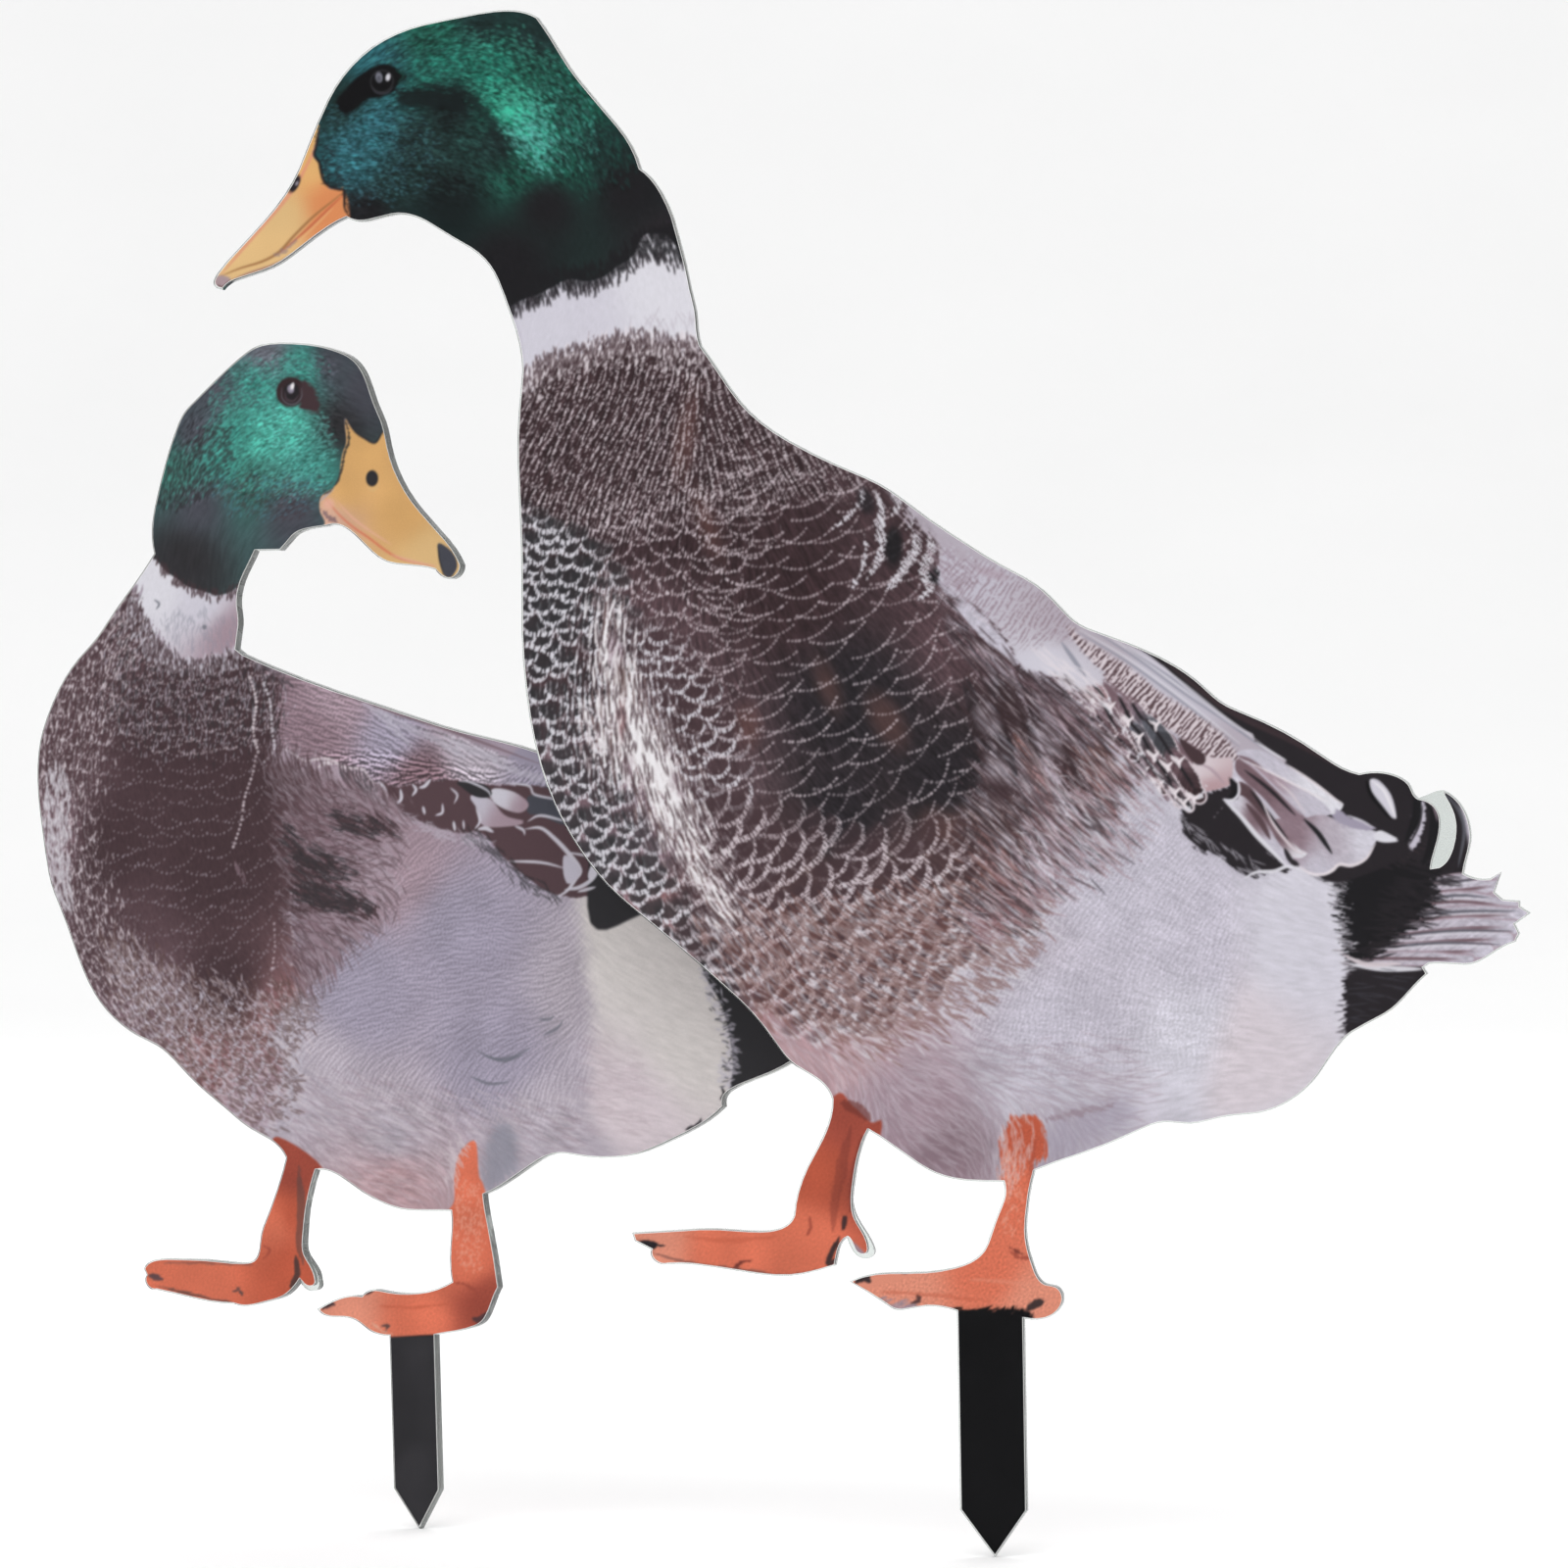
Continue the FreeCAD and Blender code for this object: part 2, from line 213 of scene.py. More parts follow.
class Picture:
    """One duck's print, and the strokes that it is painted with."""

    def __init__(self, low, high, flow, seed):
        """flow: (x, z, degrees) for the way the feathers point, 0 towards the tail."""
        self.low = np.array(low) - MARGIN
        cols, rows = np.ceil((np.array(high) + MARGIN - self.low) / CELL).astype(int)
        self.x = self.low[0] + CELL * np.arange(cols)
        self.z = self.low[1] + CELL * np.arange(rows)
        self.colour = np.zeros((rows, cols, 3), np.float32)
        self.rng = np.random.default_rng(seed)
        turns = [(x, z, (math.cos(math.radians(a)), math.sin(math.radians(a))))
                 for x, z, a in flow]
        whole = (slice(0, rows), slice(0, cols))
        way = self.spread(turns, whole, 8.0)
        self.way = way / np.linalg.norm(way, axis=2, keepdims=True)
        self.hair = self.combed(softened(self.noise()), self.way, 2.6)
        self.fine = self.combed(self.noise(), self.way, 1.2)
        ripple = self.noise()
        self.worms = level(softened(ripple, 1) - softened(ripple, 4))
        self.comb = self.combed(self.worms, self.way, 1.3)
        self.locks = self.combed(self.worms, self.way, 6.0)
        self.strands = self.combed(softened(ripple, 3) - softened(ripple, 12), self.way, 3.4)
        ripple = softened(ripple, 2) - softened(ripple, 7)
        across = self.way[..., ::-1] * (-1, 1)
        self.waves = level(np.tanh(1.3 * self.combed(ripple, across, 2.4)))
        self.clouds = level(enlarged(softened(self.rng.standard_normal(
            (rows // 16 + 2, cols // 16 + 2))), 16, (rows, cols)))

    def noise(self):
        """A random value at each point of the grid."""
        return self.rng.standard_normal((len(self.z), len(self.x))).astype(np.float32)

    def combed(self, field, way, length):
        """The field drawn out into hairs of that length along the way."""
        rows, cols = np.indices(field.shape, np.float32)
        total = np.zeros_like(field)
        steps = int(length / CELL / 2)
        for step in range(-steps, steps + 1):
            row = np.clip(rows + step * way[..., 1], 0, field.shape[0] - 1).astype(np.int32)
            col = np.clip(cols + step * way[..., 0], 0, field.shape[1] - 1).astype(np.int32)
            total += field[row, col]
        return level(total)

    def window(self, places, pad):
        """The part of the grid round some places, and the x and z of its points."""
        places = np.asarray(places)
        first = np.floor((places.min(0) - pad - self.low) / CELL).astype(int).clip(0)
        last = np.ceil((places.max(0) + pad - self.low) / CELL).astype(int).clip(1)
        part = (slice(first[1], last[1] + 1), slice(first[0], last[0] + 1))
        return part, self.x[part[1]][None, :], self.z[part[0]][:, None]

    def spread(self, anchors, part, blur=3.0):
        """Values given at a few places, blended over a part of the grid."""
        x = self.x[part[1]]
        z = self.z[part[0]]
        x_few = x[0] + FIELD * CELL * np.arange(len(x) // FIELD + 2)
        z_few = z[0] + FIELD * CELL * np.arange(len(z) // FIELD + 2)
        return enlarged(mixed(anchors, x_few[None, :], z_few[:, None], blur),
                        FIELD, (len(z), len(x)))

    def colours(self, colour, part):
        """One colour, or (x, z, colour) anchors blended over the part."""
        if isinstance(colour, int):
            return rgb(colour)
        return self.spread([(x, z, rgb(code)) for x, z, code in colour], part, 2.0)

    def put(self, part, colour, cover):
        """A colour laid over a part of the grid, as far as it covers."""
        self.colour[part] += (colour - self.colour[part]) * cover[..., None]

    def area(self, points, soft=0.4, hairy=0.0):
        """How far a closed curve covers the grid: soft is the width of its edge, and hairy
        the length of the hairs that break it."""
        ring = curve(points, closed=True)
        part, x, z = self.window(ring, soft + 3 * hairy)
        x_few = x[0, 0] + COARSE * CELL * np.arange(x.shape[1] // COARSE + 2)
        z_few = z[0, 0] + COARSE * CELL * np.arange(z.shape[0] // COARSE + 2)
        depth = enlarged(depth_in(ring, x_few[None, :], z_few[:, None]), COARSE,
                         (z.shape[0], x.shape[1]))
        return part, smooth(depth + hairy * self.hair[part], -soft / 2, soft / 2)

    def fill(self, points, colour, soft=0.4, hairy=0.0, cover=1.0):
        """A closed curve filled with a colour. Gives back the region it covers."""
        part, mask = self.area(points, soft, hairy)
        self.put(part, self.colours(colour, part), mask * cover)
        return part, mask

    def grain(self, region, field, strength):
        """Lighter and darker with a field, in proportion to the colour that is there."""
        part, mask = region
        change = 1 + strength * np.clip(field[part], -2.5, 2.5) * mask
        self.colour[part] *= np.clip(change, 0.1, 3)[..., None]

    def glints(self, region, field, start, colour, cover=1.0):
        """A colour wherever a field stands higher than start."""
        part, mask = region
        peaks = smooth(field[part], start, start + 1.2)
        self.put(part, self.colours(colour, part), peaks * mask * cover)

    def beads(self, region, colour, cover=1.0):
        """Rows of beads that follow the way of the feathers."""
        part, mask = region
        rows = smooth(self.strands[part], 0.25, 0.9)
        self.put(part, self.colours(colour, part),
                 rows * smooth(self.worms[part], -0.6, 0.3) * mask * cover)

    def line(self, points, width, colour, cover=1.0, taper=True, fray=0.0, shift=(0, 0),
             broken=False):
        """A stroke. With taper it thins towards both ends, and broken it is a row of hairs."""
        path = curve(points) + np.array(shift)
        part, x, z = self.window(path, width + fray)
        away, _, run, length = beside(path, x, z)
        half = width / 2
        if taper:
            half = half * np.sqrt(np.clip(np.sin(np.pi * run / length), 0.04, 1))
        away = away - fray * self.hair[part]
        stroke = smooth(half - away, -0.16, 0.16) * cover
        if broken:
            stroke = stroke * smooth(self.comb[part], -0.9, 0.1)
        self.put(part, self.colours(colour, part), stroke)

    def dots(self, points, gap, size, colour, cover=1.0):
        """A row of dots, each a little off its place."""
        path = curve(points, steps=8)
        run = np.concatenate([[0], np.cumsum(np.hypot(*np.diff(path, axis=0).T))])
        at = np.arange(gap / 2, run[-1], gap)
        at = at + self.rng.normal(0, gap * 0.12, len(at))
        for x0, z0 in zip(np.interp(at, run, path[:, 0]), np.interp(at, run, path[:, 1])):
            radius = size * self.rng.uniform(0.75, 1.25)
            part, x, z = self.window([(x0, z0)], 1.6 * size)
            away = np.hypot(x - x0, z - z0)
            self.put(part, rgb(colour), smooth(radius - away, -0.2, 0.2)
                     * cover * self.rng.uniform(0.7, 1.0))

    def blot(self, place, size, colour, turn=0.0, soft=0.25, cover=1.0):
        """An ellipse: size is its half width and half height."""
        part, x, z = self.window([place], max(size) + soft)
        c, s = math.cos(math.radians(turn)), math.sin(math.radians(turn))
        along = ((x - place[0]) * c + (z - place[1]) * s) / size[0]
        across = ((z - place[1]) * c - (x - place[0]) * s) / size[1]
        depth = (1 - np.hypot(along, across)) * min(size)
        self.put(part, rgb(colour), smooth(depth, -soft / 2, soft / 2) * cover)

    def hairs(self, region, per_mm2, length, colour, cover=1.0, stray=8.0, turn=0.0,
              bold=0):
        """Single hairs along the way of the feathers, anywhere in a region."""
        part, mask = region
        rows, cols = mask.shape
        count = int(per_mm2 * rows * cols * CELL ** 2)
        row = self.rng.uniform(0, rows - 1, count)
        col = self.rng.uniform(0, cols - 1, count)
        keep = mask[row.astype(int), col.astype(int)] > self.rng.uniform(0, 1, count)
        row, col = row[keep], col[keep]
        way = self.way[part][row.astype(int), col.astype(int)]
        angle = np.radians(turn + self.rng.normal(0, stray, len(row)))
        c, s = np.cos(angle), np.sin(angle)
        way = np.stack([way[:, 0] * c - way[:, 1] * s, way[:, 0] * s + way[:, 1] * c], 1)
        reach = length / CELL * self.rng.uniform(0.6, 1.3, len(row))
        layer = np.zeros(mask.shape, np.float32)
        steps = int(1.3 * length / CELL) + 2
        for share in np.linspace(-0.5, 0.5, steps):
            r = np.clip(row + share * reach * way[:, 1], 0, rows - 2)
            c = np.clip(col + share * reach * way[:, 0], 0, cols - 2)
            strength = math.cos(math.pi * share) ** 0.5
            for dr in (0, 1):
                for dc in (0, 1):
                    weight = (1 - abs(r - r.astype(int) - dr)) * (1 - abs(c - c.astype(int) - dc))
                    np.maximum.at(layer, (r.astype(int) + dr, c.astype(int) + dc),
                                  (strength * np.sqrt(weight)).astype(np.float32))
        for _ in range(bold):
            layer = np.maximum(layer, np.maximum(np.roll(layer, 1, 0), np.roll(layer, 1, 1)))
        self.put(part, self.colours(colour, part), layer * cover)

    def feather(self, spine, width, colours, rim=None, rim_width=0.5, shaft=None,
                barbs=0.1, slant=0.8, blunt=0.55, cover=1.0):
        """One long feather from its root to its tip. colours: at the root, at the tip."""
        path = curve(spine)
        part, x, z = self.window(path, width)
        away, _, run, length = beside(path, x, z)
        share = run / length
        half = width / 2 * (0.55 + 0.45 * smooth(share, 0, 0.5)) * (
            1 - (1 - blunt) * smooth(share, 0.6, 1.0))
        depth = half - away
        mask = smooth(depth, -0.15, 0.15) * smooth(share, 0, FEATHER_ROOT) * cover
        tone = rgb(colours[0]) * (1 - share[..., None]) + rgb(colours[1]) * share[..., None]
        streaks = self.rng.standard_normal(int((length + width) / BARB) + 8).astype(np.float32)
        lookup = (run + slant * (half - away) + width * 0.4) / BARB
        streak = np.interp(np.clip(lookup, 0, len(streaks) - 1), np.arange(len(streaks)), streaks)
        tone = tone * (1 + barbs * streak + 0.05 * self.fine[part])[..., None]
        if shaft is not None:
            tone = tone + (rgb(shaft) - tone) * (
                smooth(0.32 - away, -0.12, 0.12) * smooth(1 - share, 0.02, 0.3))[..., None]
        if rim is not None:
            ragged = rim_width * (0.8 + 0.2 * streak) * smooth(share, 0.1, 0.6)
            tone = tone + (rgb(rim) - tone) * smooth(ragged - depth, -0.18, 0.18)[..., None]
        self.put(part, np.clip(tone, 0, 1), mask)

    def places(self, region, gap):
        """Places at random in a region, none nearer to another than the gap there, in the
        order in which feathers overlap: those nearer the tips come first. gap is one
        length or (x, z, length) anchors."""
        part, mask = region
        x, z = self.x[part[1]], self.z[part[0]]
        if isinstance(gap, (int, float)):
            gap = [(0.0, 0.0, gap)]
        gaps = self.spread([(a, b, (g,)) for a, b, g in gap], part)[..., 0]
        rows, cols = np.nonzero(mask > 0.5)
        tries = self.rng.permutation(len(rows))[:int(14 * mask.sum() * CELL ** 2
                                                    / gaps[rows, cols].mean() ** 2)]
        found = np.empty((len(tries), 2))
        count = 0
        for k in tries:
            place = (x[cols[k]], z[rows[k]])
            room = gaps[rows[k], cols[k]]
            near = found[:count] - place
            if count == 0 or (near[:, 0] ** 2 + near[:, 1] ** 2).min() > room * room:
                found[count] = place
                count += 1
        found = found[:count]
        at = np.rint((found - self.low) / CELL).astype(int)
        way = self.way[at[:, 1], at[:, 0]]
        order = np.argsort(-(found * way.mean(0)).sum(1))
        room = gaps[at[order, 1] - part[0].start, at[order, 0] - part[1].start]
        return zip(found[order], way[order], room)

    def scales(self, region, gap, rim, body=None, rim_width=0.34, wide=1.15, broken=0.0,
               cover=1.0, lean=0.0):
        """Small overlapping feathers like roof tiles. Each has a dark body, where that is
        given, and a pale rim that is widest at its tip and is broken into hairs."""
        part0, mask0 = region
        for (x0, z0), way, room in self.places(region, gap):
            room = room * self.rng.uniform(0.85, 1.2)
            way = turned(way, self.rng.normal(lean, 9))
            part, x, z = self.window([(x0, z0)], room * max(1, wide) * 1.3)
            along = ((x - x0) * way[0] + (z - z0) * way[1]) / room
            across = ((z - z0) * way[0] - (x - x0) * way[1]) / (room * wide)
            edge = (1 - np.sqrt(np.clip(along, 0, None) ** 2 + (across * 1.25) ** 2)) * room
            edge = edge + 0.10 * self.hair[part]
            row = int((z0 - self.low[1]) / CELL) - part0[0].start
            col = int((x0 - self.low[0]) / CELL) - part0[1].start
            inside = mask0[row, col] * cover
            thick = rim_width * self.rng.uniform(0.7, 1.2) * (0.3 + 0.7 * smooth(along, -0.1, 0.8))
            if body is not None:
                self.put(part, rgb(body), smooth(edge - 0.8 * thick, -0.1, 0.2)
                         * smooth(along, -0.8, -0.1) * 0.8 * inside)
            crest = smooth(edge, -0.1, 0.15) * smooth(thick - edge, -0.2, 0.15)
            crest = crest * smooth(along, -0.45, 0.05)
            gaps = smooth(self.comb[part], broken - 0.8, broken + 0.5)
            self.put(part, rgb(rim), crest * gaps * inside)

    def arcs(self, region, gap, dot, colour, bow=0.32, wide=1.0, cover=1.0, size=0.3,
             lean=0.0):
        """Rows of dots in shallow bows, one at each of the region's places."""
        for (x0, z0), way, room in self.places(region, gap):
            way = turned(way, self.rng.normal(lean, 7))
            t = np.linspace(-0.75, 0.75, 7)[:, None] * self.rng.uniform(0.8, 1.15)
            across = np.array([-way[1], way[0]])
            points = (x0, z0) + room * (wide * t * across + bow * (1 - 1.7 * t * t) * way)
            self.dots(points, dot, size, colour, cover * self.rng.uniform(0.6, 1.0))


# ---- The large duck's picture.

LARGE_FLOW = [
    (-137, 288, 0), (-130, 306, 30), (-115, 311, 5), (-97, 309, -25), (-84, 294, -52),
    (-75, 280, -60), (-70, 269, -70), (-126, 288, -8), (-115, 294, 0), (-105, 298, -15),
    (-111, 284, -20), (-101, 286, -40), (-126, 278, -20), (-109, 272, -40), (-97, 266, -60),
    (-80, 265, -78), (-93, 300, -35), (-93, 250, -98), (-80, 253, -92), (-66, 257, -80),
    (-93, 231, -117), (-80, 231, -118), (-66, 233, -114), (-55, 231, -60), (-76, 213, -112),
    (-64, 209, -104), (-44, 215, -62), (-29, 213, -52), (-15, 203, -45), (-95, 197, -100),
    (-76, 193, -96), (-60, 189, -88), (-93, 169, -92), (-78, 169, -88), (-64, 169, -75),
    (-48, 181, -62), (-31, 177, -52), (-13, 177, -46), (-1, 177, -48), (-84, 147, -80),
    (-70, 145, -72), (-56, 141, -58), (-39, 141, -48), (-23, 141, -36), (-9, 141, -38),
    (-48, 121, -50), (-31, 119, -30), (-13, 125, -24), (-31, 107, -38), (-13, 101, -22),
    (9, 101, -8), (-11, 85, -30), (9, 145, -48), (17, 131, -35), (33, 127, -28), (47, 113, -12),
    (21, 109, -5), (37, 98, 12), (23, 161, -45), (5, 193, -32), (21, 181, -38), (37, 171, -40),
    (57, 151, -38), (63, 127, -14), (67, 110, 6), (81, 139, -30), (96, 131, -8), (81, 122, 5),
    (81, 114, -5), (33, 151, -42), (49, 145, -40), (-30, 87, -100), (-35, 69, -95), (-54, 62, -178),
    (5, 81, -95), (3, 65, -95), (-11, 55, -178), (-1, 28, -90)]


def large_body(p):
    """Flanks and belly, in grey and mauve."""
    whole = (slice(0, len(p.z)), slice(0, len(p.x)))
    p.colour[:] = p.colours([
        (-3, 127, LILAC), (27, 137, MIST), (47, 127, MIST), (43, 103, PEARL), (13, 107, MIST),
        (-31, 105, ROSE), (-19, 91, MAUVE), (-9, 80, DUSK), (9, 95, MIST), (9, 82, LILAC)], whole)
    everywhere = (whole, np.ones(p.colour.shape[:2], np.float32))
    p.grain(everywhere, p.clouds, 0.018)
    p.grain(everywhere, p.hair, 0.025)
    flank = p.area([
        (-3.1, 145.1), (23.0, 159.0), (48.9, 137.2), (58.8, 121.4), (52.9, 101.6), (27.0, 99.5),
        (0.9, 101.3), (-11.1, 117.1)], 14)
    p.grain(flank, p.worms, 0.05)
    p.grain(flank, p.waves, 0.02)
    belly = p.area([
        (-43.5, 109.0), (-3.1, 103.3), (27.0, 101.5), (27.0, 87.6), (-3.1, 73.4),
        (-23.2, 85.2)], 10)
    p.hairs(belly, 0.6, 6.0, FROST, 0.45, 10)
    p.hairs(belly, 0.6, 5.0, DUSK, 0.45, 10)
    p.fill([
        (9.4, 87.4), (17.0, 91.1), (27.0, 93.5), (27.0, 87.6), (15.0, 80.5),
        (9.4, 77.5)], DOVE, 6, 1.0, 0.5)
    p.line([(10.6, 89.0), (17.0, 90.5), (24.0, 91.9)], 1.6, DUSK, 0.5, fray=0.3)


def large_rump(p):
    """The white sides of the rump, the black coverts and the tail."""
    p.fill([
        (73.7, 162.9), (90.5, 159.0), (96.4, 141.3), (92.4, 117.6), (76.7, 103.8), (68.7, 105.7),
        (71.1, 115.6), (69.9, 125.4), (66.8, 136.3), (62.8, 139.6), (65.8, 145.2)], SOOT, 1.0, 0.0)
    p.fill([
        (54.9, 137.2), (62.8, 140.4), (67.2, 138.2), (69.9, 130.4), (71.5, 119.5), (71.9, 108.7),
        (68.7, 97.8), (56.9, 89.8), (48.9, 91.7), (51.3, 109.5), (53.3, 125.4)], PEARL, 1.0, 0.8)
    rump = p.area([
        (50.9, 139.2), (68.7, 139.2), (72.7, 117.5), (70.7, 101.7), (54.9, 89.8), (43.0, 91.7),
        (48.9, 117.4)], 8)
    p.put(rump[0], p.colours([(63, 125, PEARL), (48, 104, SHELL)], rump[0]), rump[1] * 0.7)
    p.grain(rump, p.hair, 0.02)
    edge = p.area([
        (66.8, 138.2), (71.5, 138.3), (75.1, 120.5), (74.3, 107.3), (69.9, 107.3),
        (71.1, 120.5)], 3)
    p.hairs(edge, 1.2, 2.6, FROST, 0.9, 14)
    p.hairs(edge, 0.5, 2.0, SOOT, 0.8, 14, turn=180)
    black = p.area([(71.7, 137.3), (86.5, 151.1), (91.4, 137.3), (84.5, 123.5), (72.7, 108.7)], 4)
    p.hairs(black, 0.25, 3.0, UMBER, 0.6)
    tail = [
        ([(84.5, 136.3), (92.4, 137.3), (102.8, 138.1)], 3.4),
        ([(84.2, 134.9), (94.4, 135.7), (102.4, 136.7)], 4.0),
        ([(83.0, 132.4), (94.4, 133.4), (105.2, 132.2)], 4.6),
        ([(81.6, 129.4), (94.4, 130.4), (106.6, 130.9)], 4.6),
        ([(80.2, 126.4), (93.4, 127.9), (105.2, 128.3)], 4.8),
        ([(79.6, 124.5), (92.4, 125.5), (103.8, 125.9)], 4.8),
        ([(76.7, 123.1), (88.5, 123.1), (99.9, 123.6)], 4.6),
        ([(73.7, 121.9), (84.5, 121.9), (96.4, 121.8)], 3.2)]
    for spine, width in tail:
        p.feather(spine, width, (LILAC, MIST), MAUVE, 0.4, TAUPE, barbs=0.05, slant=1.6, blunt=0.7)
    for line in (
        [(84.9, 137.7), (94.4, 137.5), (102.4, 139.3)],
        [(83.0, 133.2), (93.4, 134.6), (100.3, 134.2)],
        [(80.6, 130.2), (94.4, 131.4), (106.2, 131.5)],
        [(78.6, 126.0), (92.4, 127.5), (105.2, 127.5)],
        [(76.7, 123.9), (90.5, 125.1), (102.3, 124.8)]):
        p.line(line, 0.5, SLATE, 0.8)
        p.line(line, 0.4, FROST, 0.6, shift=(0, -0.6))
    p.fill([
        (71.7, 139.2), (86.5, 141.2), (90.1, 136.3), (88.1, 132.4), (85.7, 129.4), (80.6, 125.9),
        (75.7, 122.5), (72.7, 123.1)], INK, 0.6, 1.1)
    fringe = p.area([
        (83.6, 139.3), (91.4, 138.3), (88.9, 131.4), (81.6, 124.5), (73.7, 121.5),
        (77.6, 126.4)], 4)
    p.hairs(fringe, 0.9, 4.5, SOOT, 0.95, 10, turn=6, bold=1)
    p.fill([
        (72.7, 119.5), (87.5, 119.4), (87.7, 118.6), (81.6, 112.8), (72.3, 106.5),
        (71.5, 111.6)], SOOT, 0.5, 0.3)
    p.line([(72.3, 120.7), (78.6, 119.9), (86.9, 119.8)], 1.2, FROST, 0.95)
    p.line([(71.1, 122.5), (75.7, 120.7), (82.6, 120.9)], 1.0, SHELL, 0.9)
    p.hairs(p.area([(73.7, 118.5), (84.5, 118.6), (80.6, 113.6), (73.7, 108.7)], 2), 0.3, 4.0, SLATE, 0.7)


def large_curls(p):
    """The curled black feathers over the tail, with white between them."""
    p.fill([
        (76.3, 158.0), (78.2, 157.6), (80.6, 154.6), (81.6, 150.1), (80.2, 150.7), (77.8, 153.5),
        (76.5, 155.8)], PEARL, 0.3)
    p.line([(76.7, 157.6), (79.2, 155.4), (81.4, 150.3)], 0.5, SNOW, 0.8)
    p.line([(75.5, 157.6), (76.7, 154.6), (80.6, 149.9)], 0.9, BLACK, 0.8)
    p.fill([
        (85.7, 154.0), (87.3, 153.1), (86.9, 148.1), (84.7, 143.2), (84.2, 144.8), (85.3, 148.1),
        (84.5, 150.1)], MIST, 0.5, 0.2)
    for shift in (0.0, 1.1, 2.2):
        p.line([(86.9, 152.7), (86.1, 148.7), (84.2, 144.8)], 0.5, SOOT, 0.9, shift=(-shift, -shift / 2))
    for points in (
        [(83.8, 157.0), (85.7, 154.6), (85.3, 149.5), (83.4, 145.6)],
        [(87.1, 153.8), (89.1, 151.1), (88.7, 145.2), (86.9, 140.8)]):
        p.line(points, 1.8, INK, 1.0)
    p.line([(89.7, 154.6), (91.6, 154.6), (94.2, 151.5), (95.2, 147.2), (94.0, 140.3)], 0.7, STEEL, 0.7)
    p.line([(86.1, 154.6), (88.9, 155.4), (91.2, 155.2)], 1.6, SHELL, 1.0)
    p.line([(86.5, 154.0), (88.9, 152.7), (89.9, 149.5)], 0.5, MAUVE, 0.8)


def large_back(p):
    """The dark line of the back, the scapulars and the folded wing."""
    p.fill([
        (25.0, 188.7), (37.0, 182.8), (48.9, 174.4), (62.8, 167.9), (76.7, 160.0), (84.5, 157.0),
        (88.5, 147.2), (76.7, 139.3), (64.8, 139.2), (50.9, 163.9), (37.0, 172.9)], SOOT, 0.6)
    p.line([(35.0, 181.6), (41.4, 176.4), (48.9, 171.2), (60.8, 165.5), (72.7, 159.0)], 1.2, UMBER, 0.6)
    p.fill([
        (39.0, 157.0), (42.0, 155.4), (46.9, 156.0), (48.5, 157.2), (49.3, 154.6), (47.3, 153.0),
        (50.5, 150.1), (53.9, 146.1), (56.9, 142.8), (60.0, 140.0), (56.9, 139.2), (52.9, 138.2),
        (50.9, 138.6), (48.9, 140.4), (46.5, 142.0), (44.5, 142.7), (42.0, 143.5), (38.6, 147.1),
        (38.0, 151.1)], SOOT, 0.5, 0.3)
    p.line([(46.3, 142.0), (48.9, 140.8), (51.3, 138.4)], 1.3, SOOT, 1.0, fray=0.2)
    p.hairs(p.area([
        (36.0, 152.0), (40.0, 147.1), (51.9, 138.8), (56.9, 138.4), (50.9, 141.6),
        (42.0, 147.1)], 3), 1.0, 3.0, PEARL, 0.8, 12, turn=-4)
    p.dots([(44.5, 149.9), (45.7, 151.5), (46.9, 152.6)], 1.1, 0.16, LILAC, 0.8)
    p.fill([
        (11.0, 193.2), (17.0, 189.6), (28.2, 185.0), (34.2, 181.0), (39.0, 176.6), (44.3, 172.2),
        (49.3, 168.5), (52.5, 167.1), (53.1, 165.5), (56.1, 163.7), (59.4, 161.7), (58.6, 161.0),
        (54.9, 161.3), (49.5, 162.5), (43.0, 167.9), (35.0, 173.8), (27.0, 178.8), (19.0, 183.2),
        (13.0, 188.8)], [(19, 187, LILAC), (37, 177, MIST), (55, 164, LILAC)], 0.4)
    for points in (
        [(19.0, 188.8), (29.0, 182.4), (40.0, 174.4), (52.9, 165.9)],
        [(17.0, 187.8), (27.0, 181.8), (38.0, 173.8), (49.9, 164.5)],
        [(27.0, 184.4), (37.0, 177.8), (46.9, 169.9), (56.9, 162.5)]):
        p.line(points, 0.5, PEWTER, 0.7)
        p.line(points, 0.5, FROST, 0.6, shift=(0, 0.7))
    p.line([(34.2, 181.0), (39.0, 176.6), (44.3, 172.2), (49.3, 168.5), (52.5, 167.1)], 0.6, PEARL, 0.8)
    strip = [
        (14.0, 189.8), (19.0, 185.8), (24.0, 182.8), (30.6, 178.4), (35.6, 174.2), (44.3, 168.9),
        (49.5, 163.3), (49.7, 161.7), (44.9, 162.1), (42.4, 161.8), (37.0, 166.9), (30.8, 171.1),
        (25.8, 175.3), (21.0, 178.8), (17.0, 182.4), (13.0, 186.8)]
    part, mask = p.fill(strip, SHELL, 1.4, 0.2)
    p.glints((part, mask), p.waves, -0.2, BARK, 0.95)


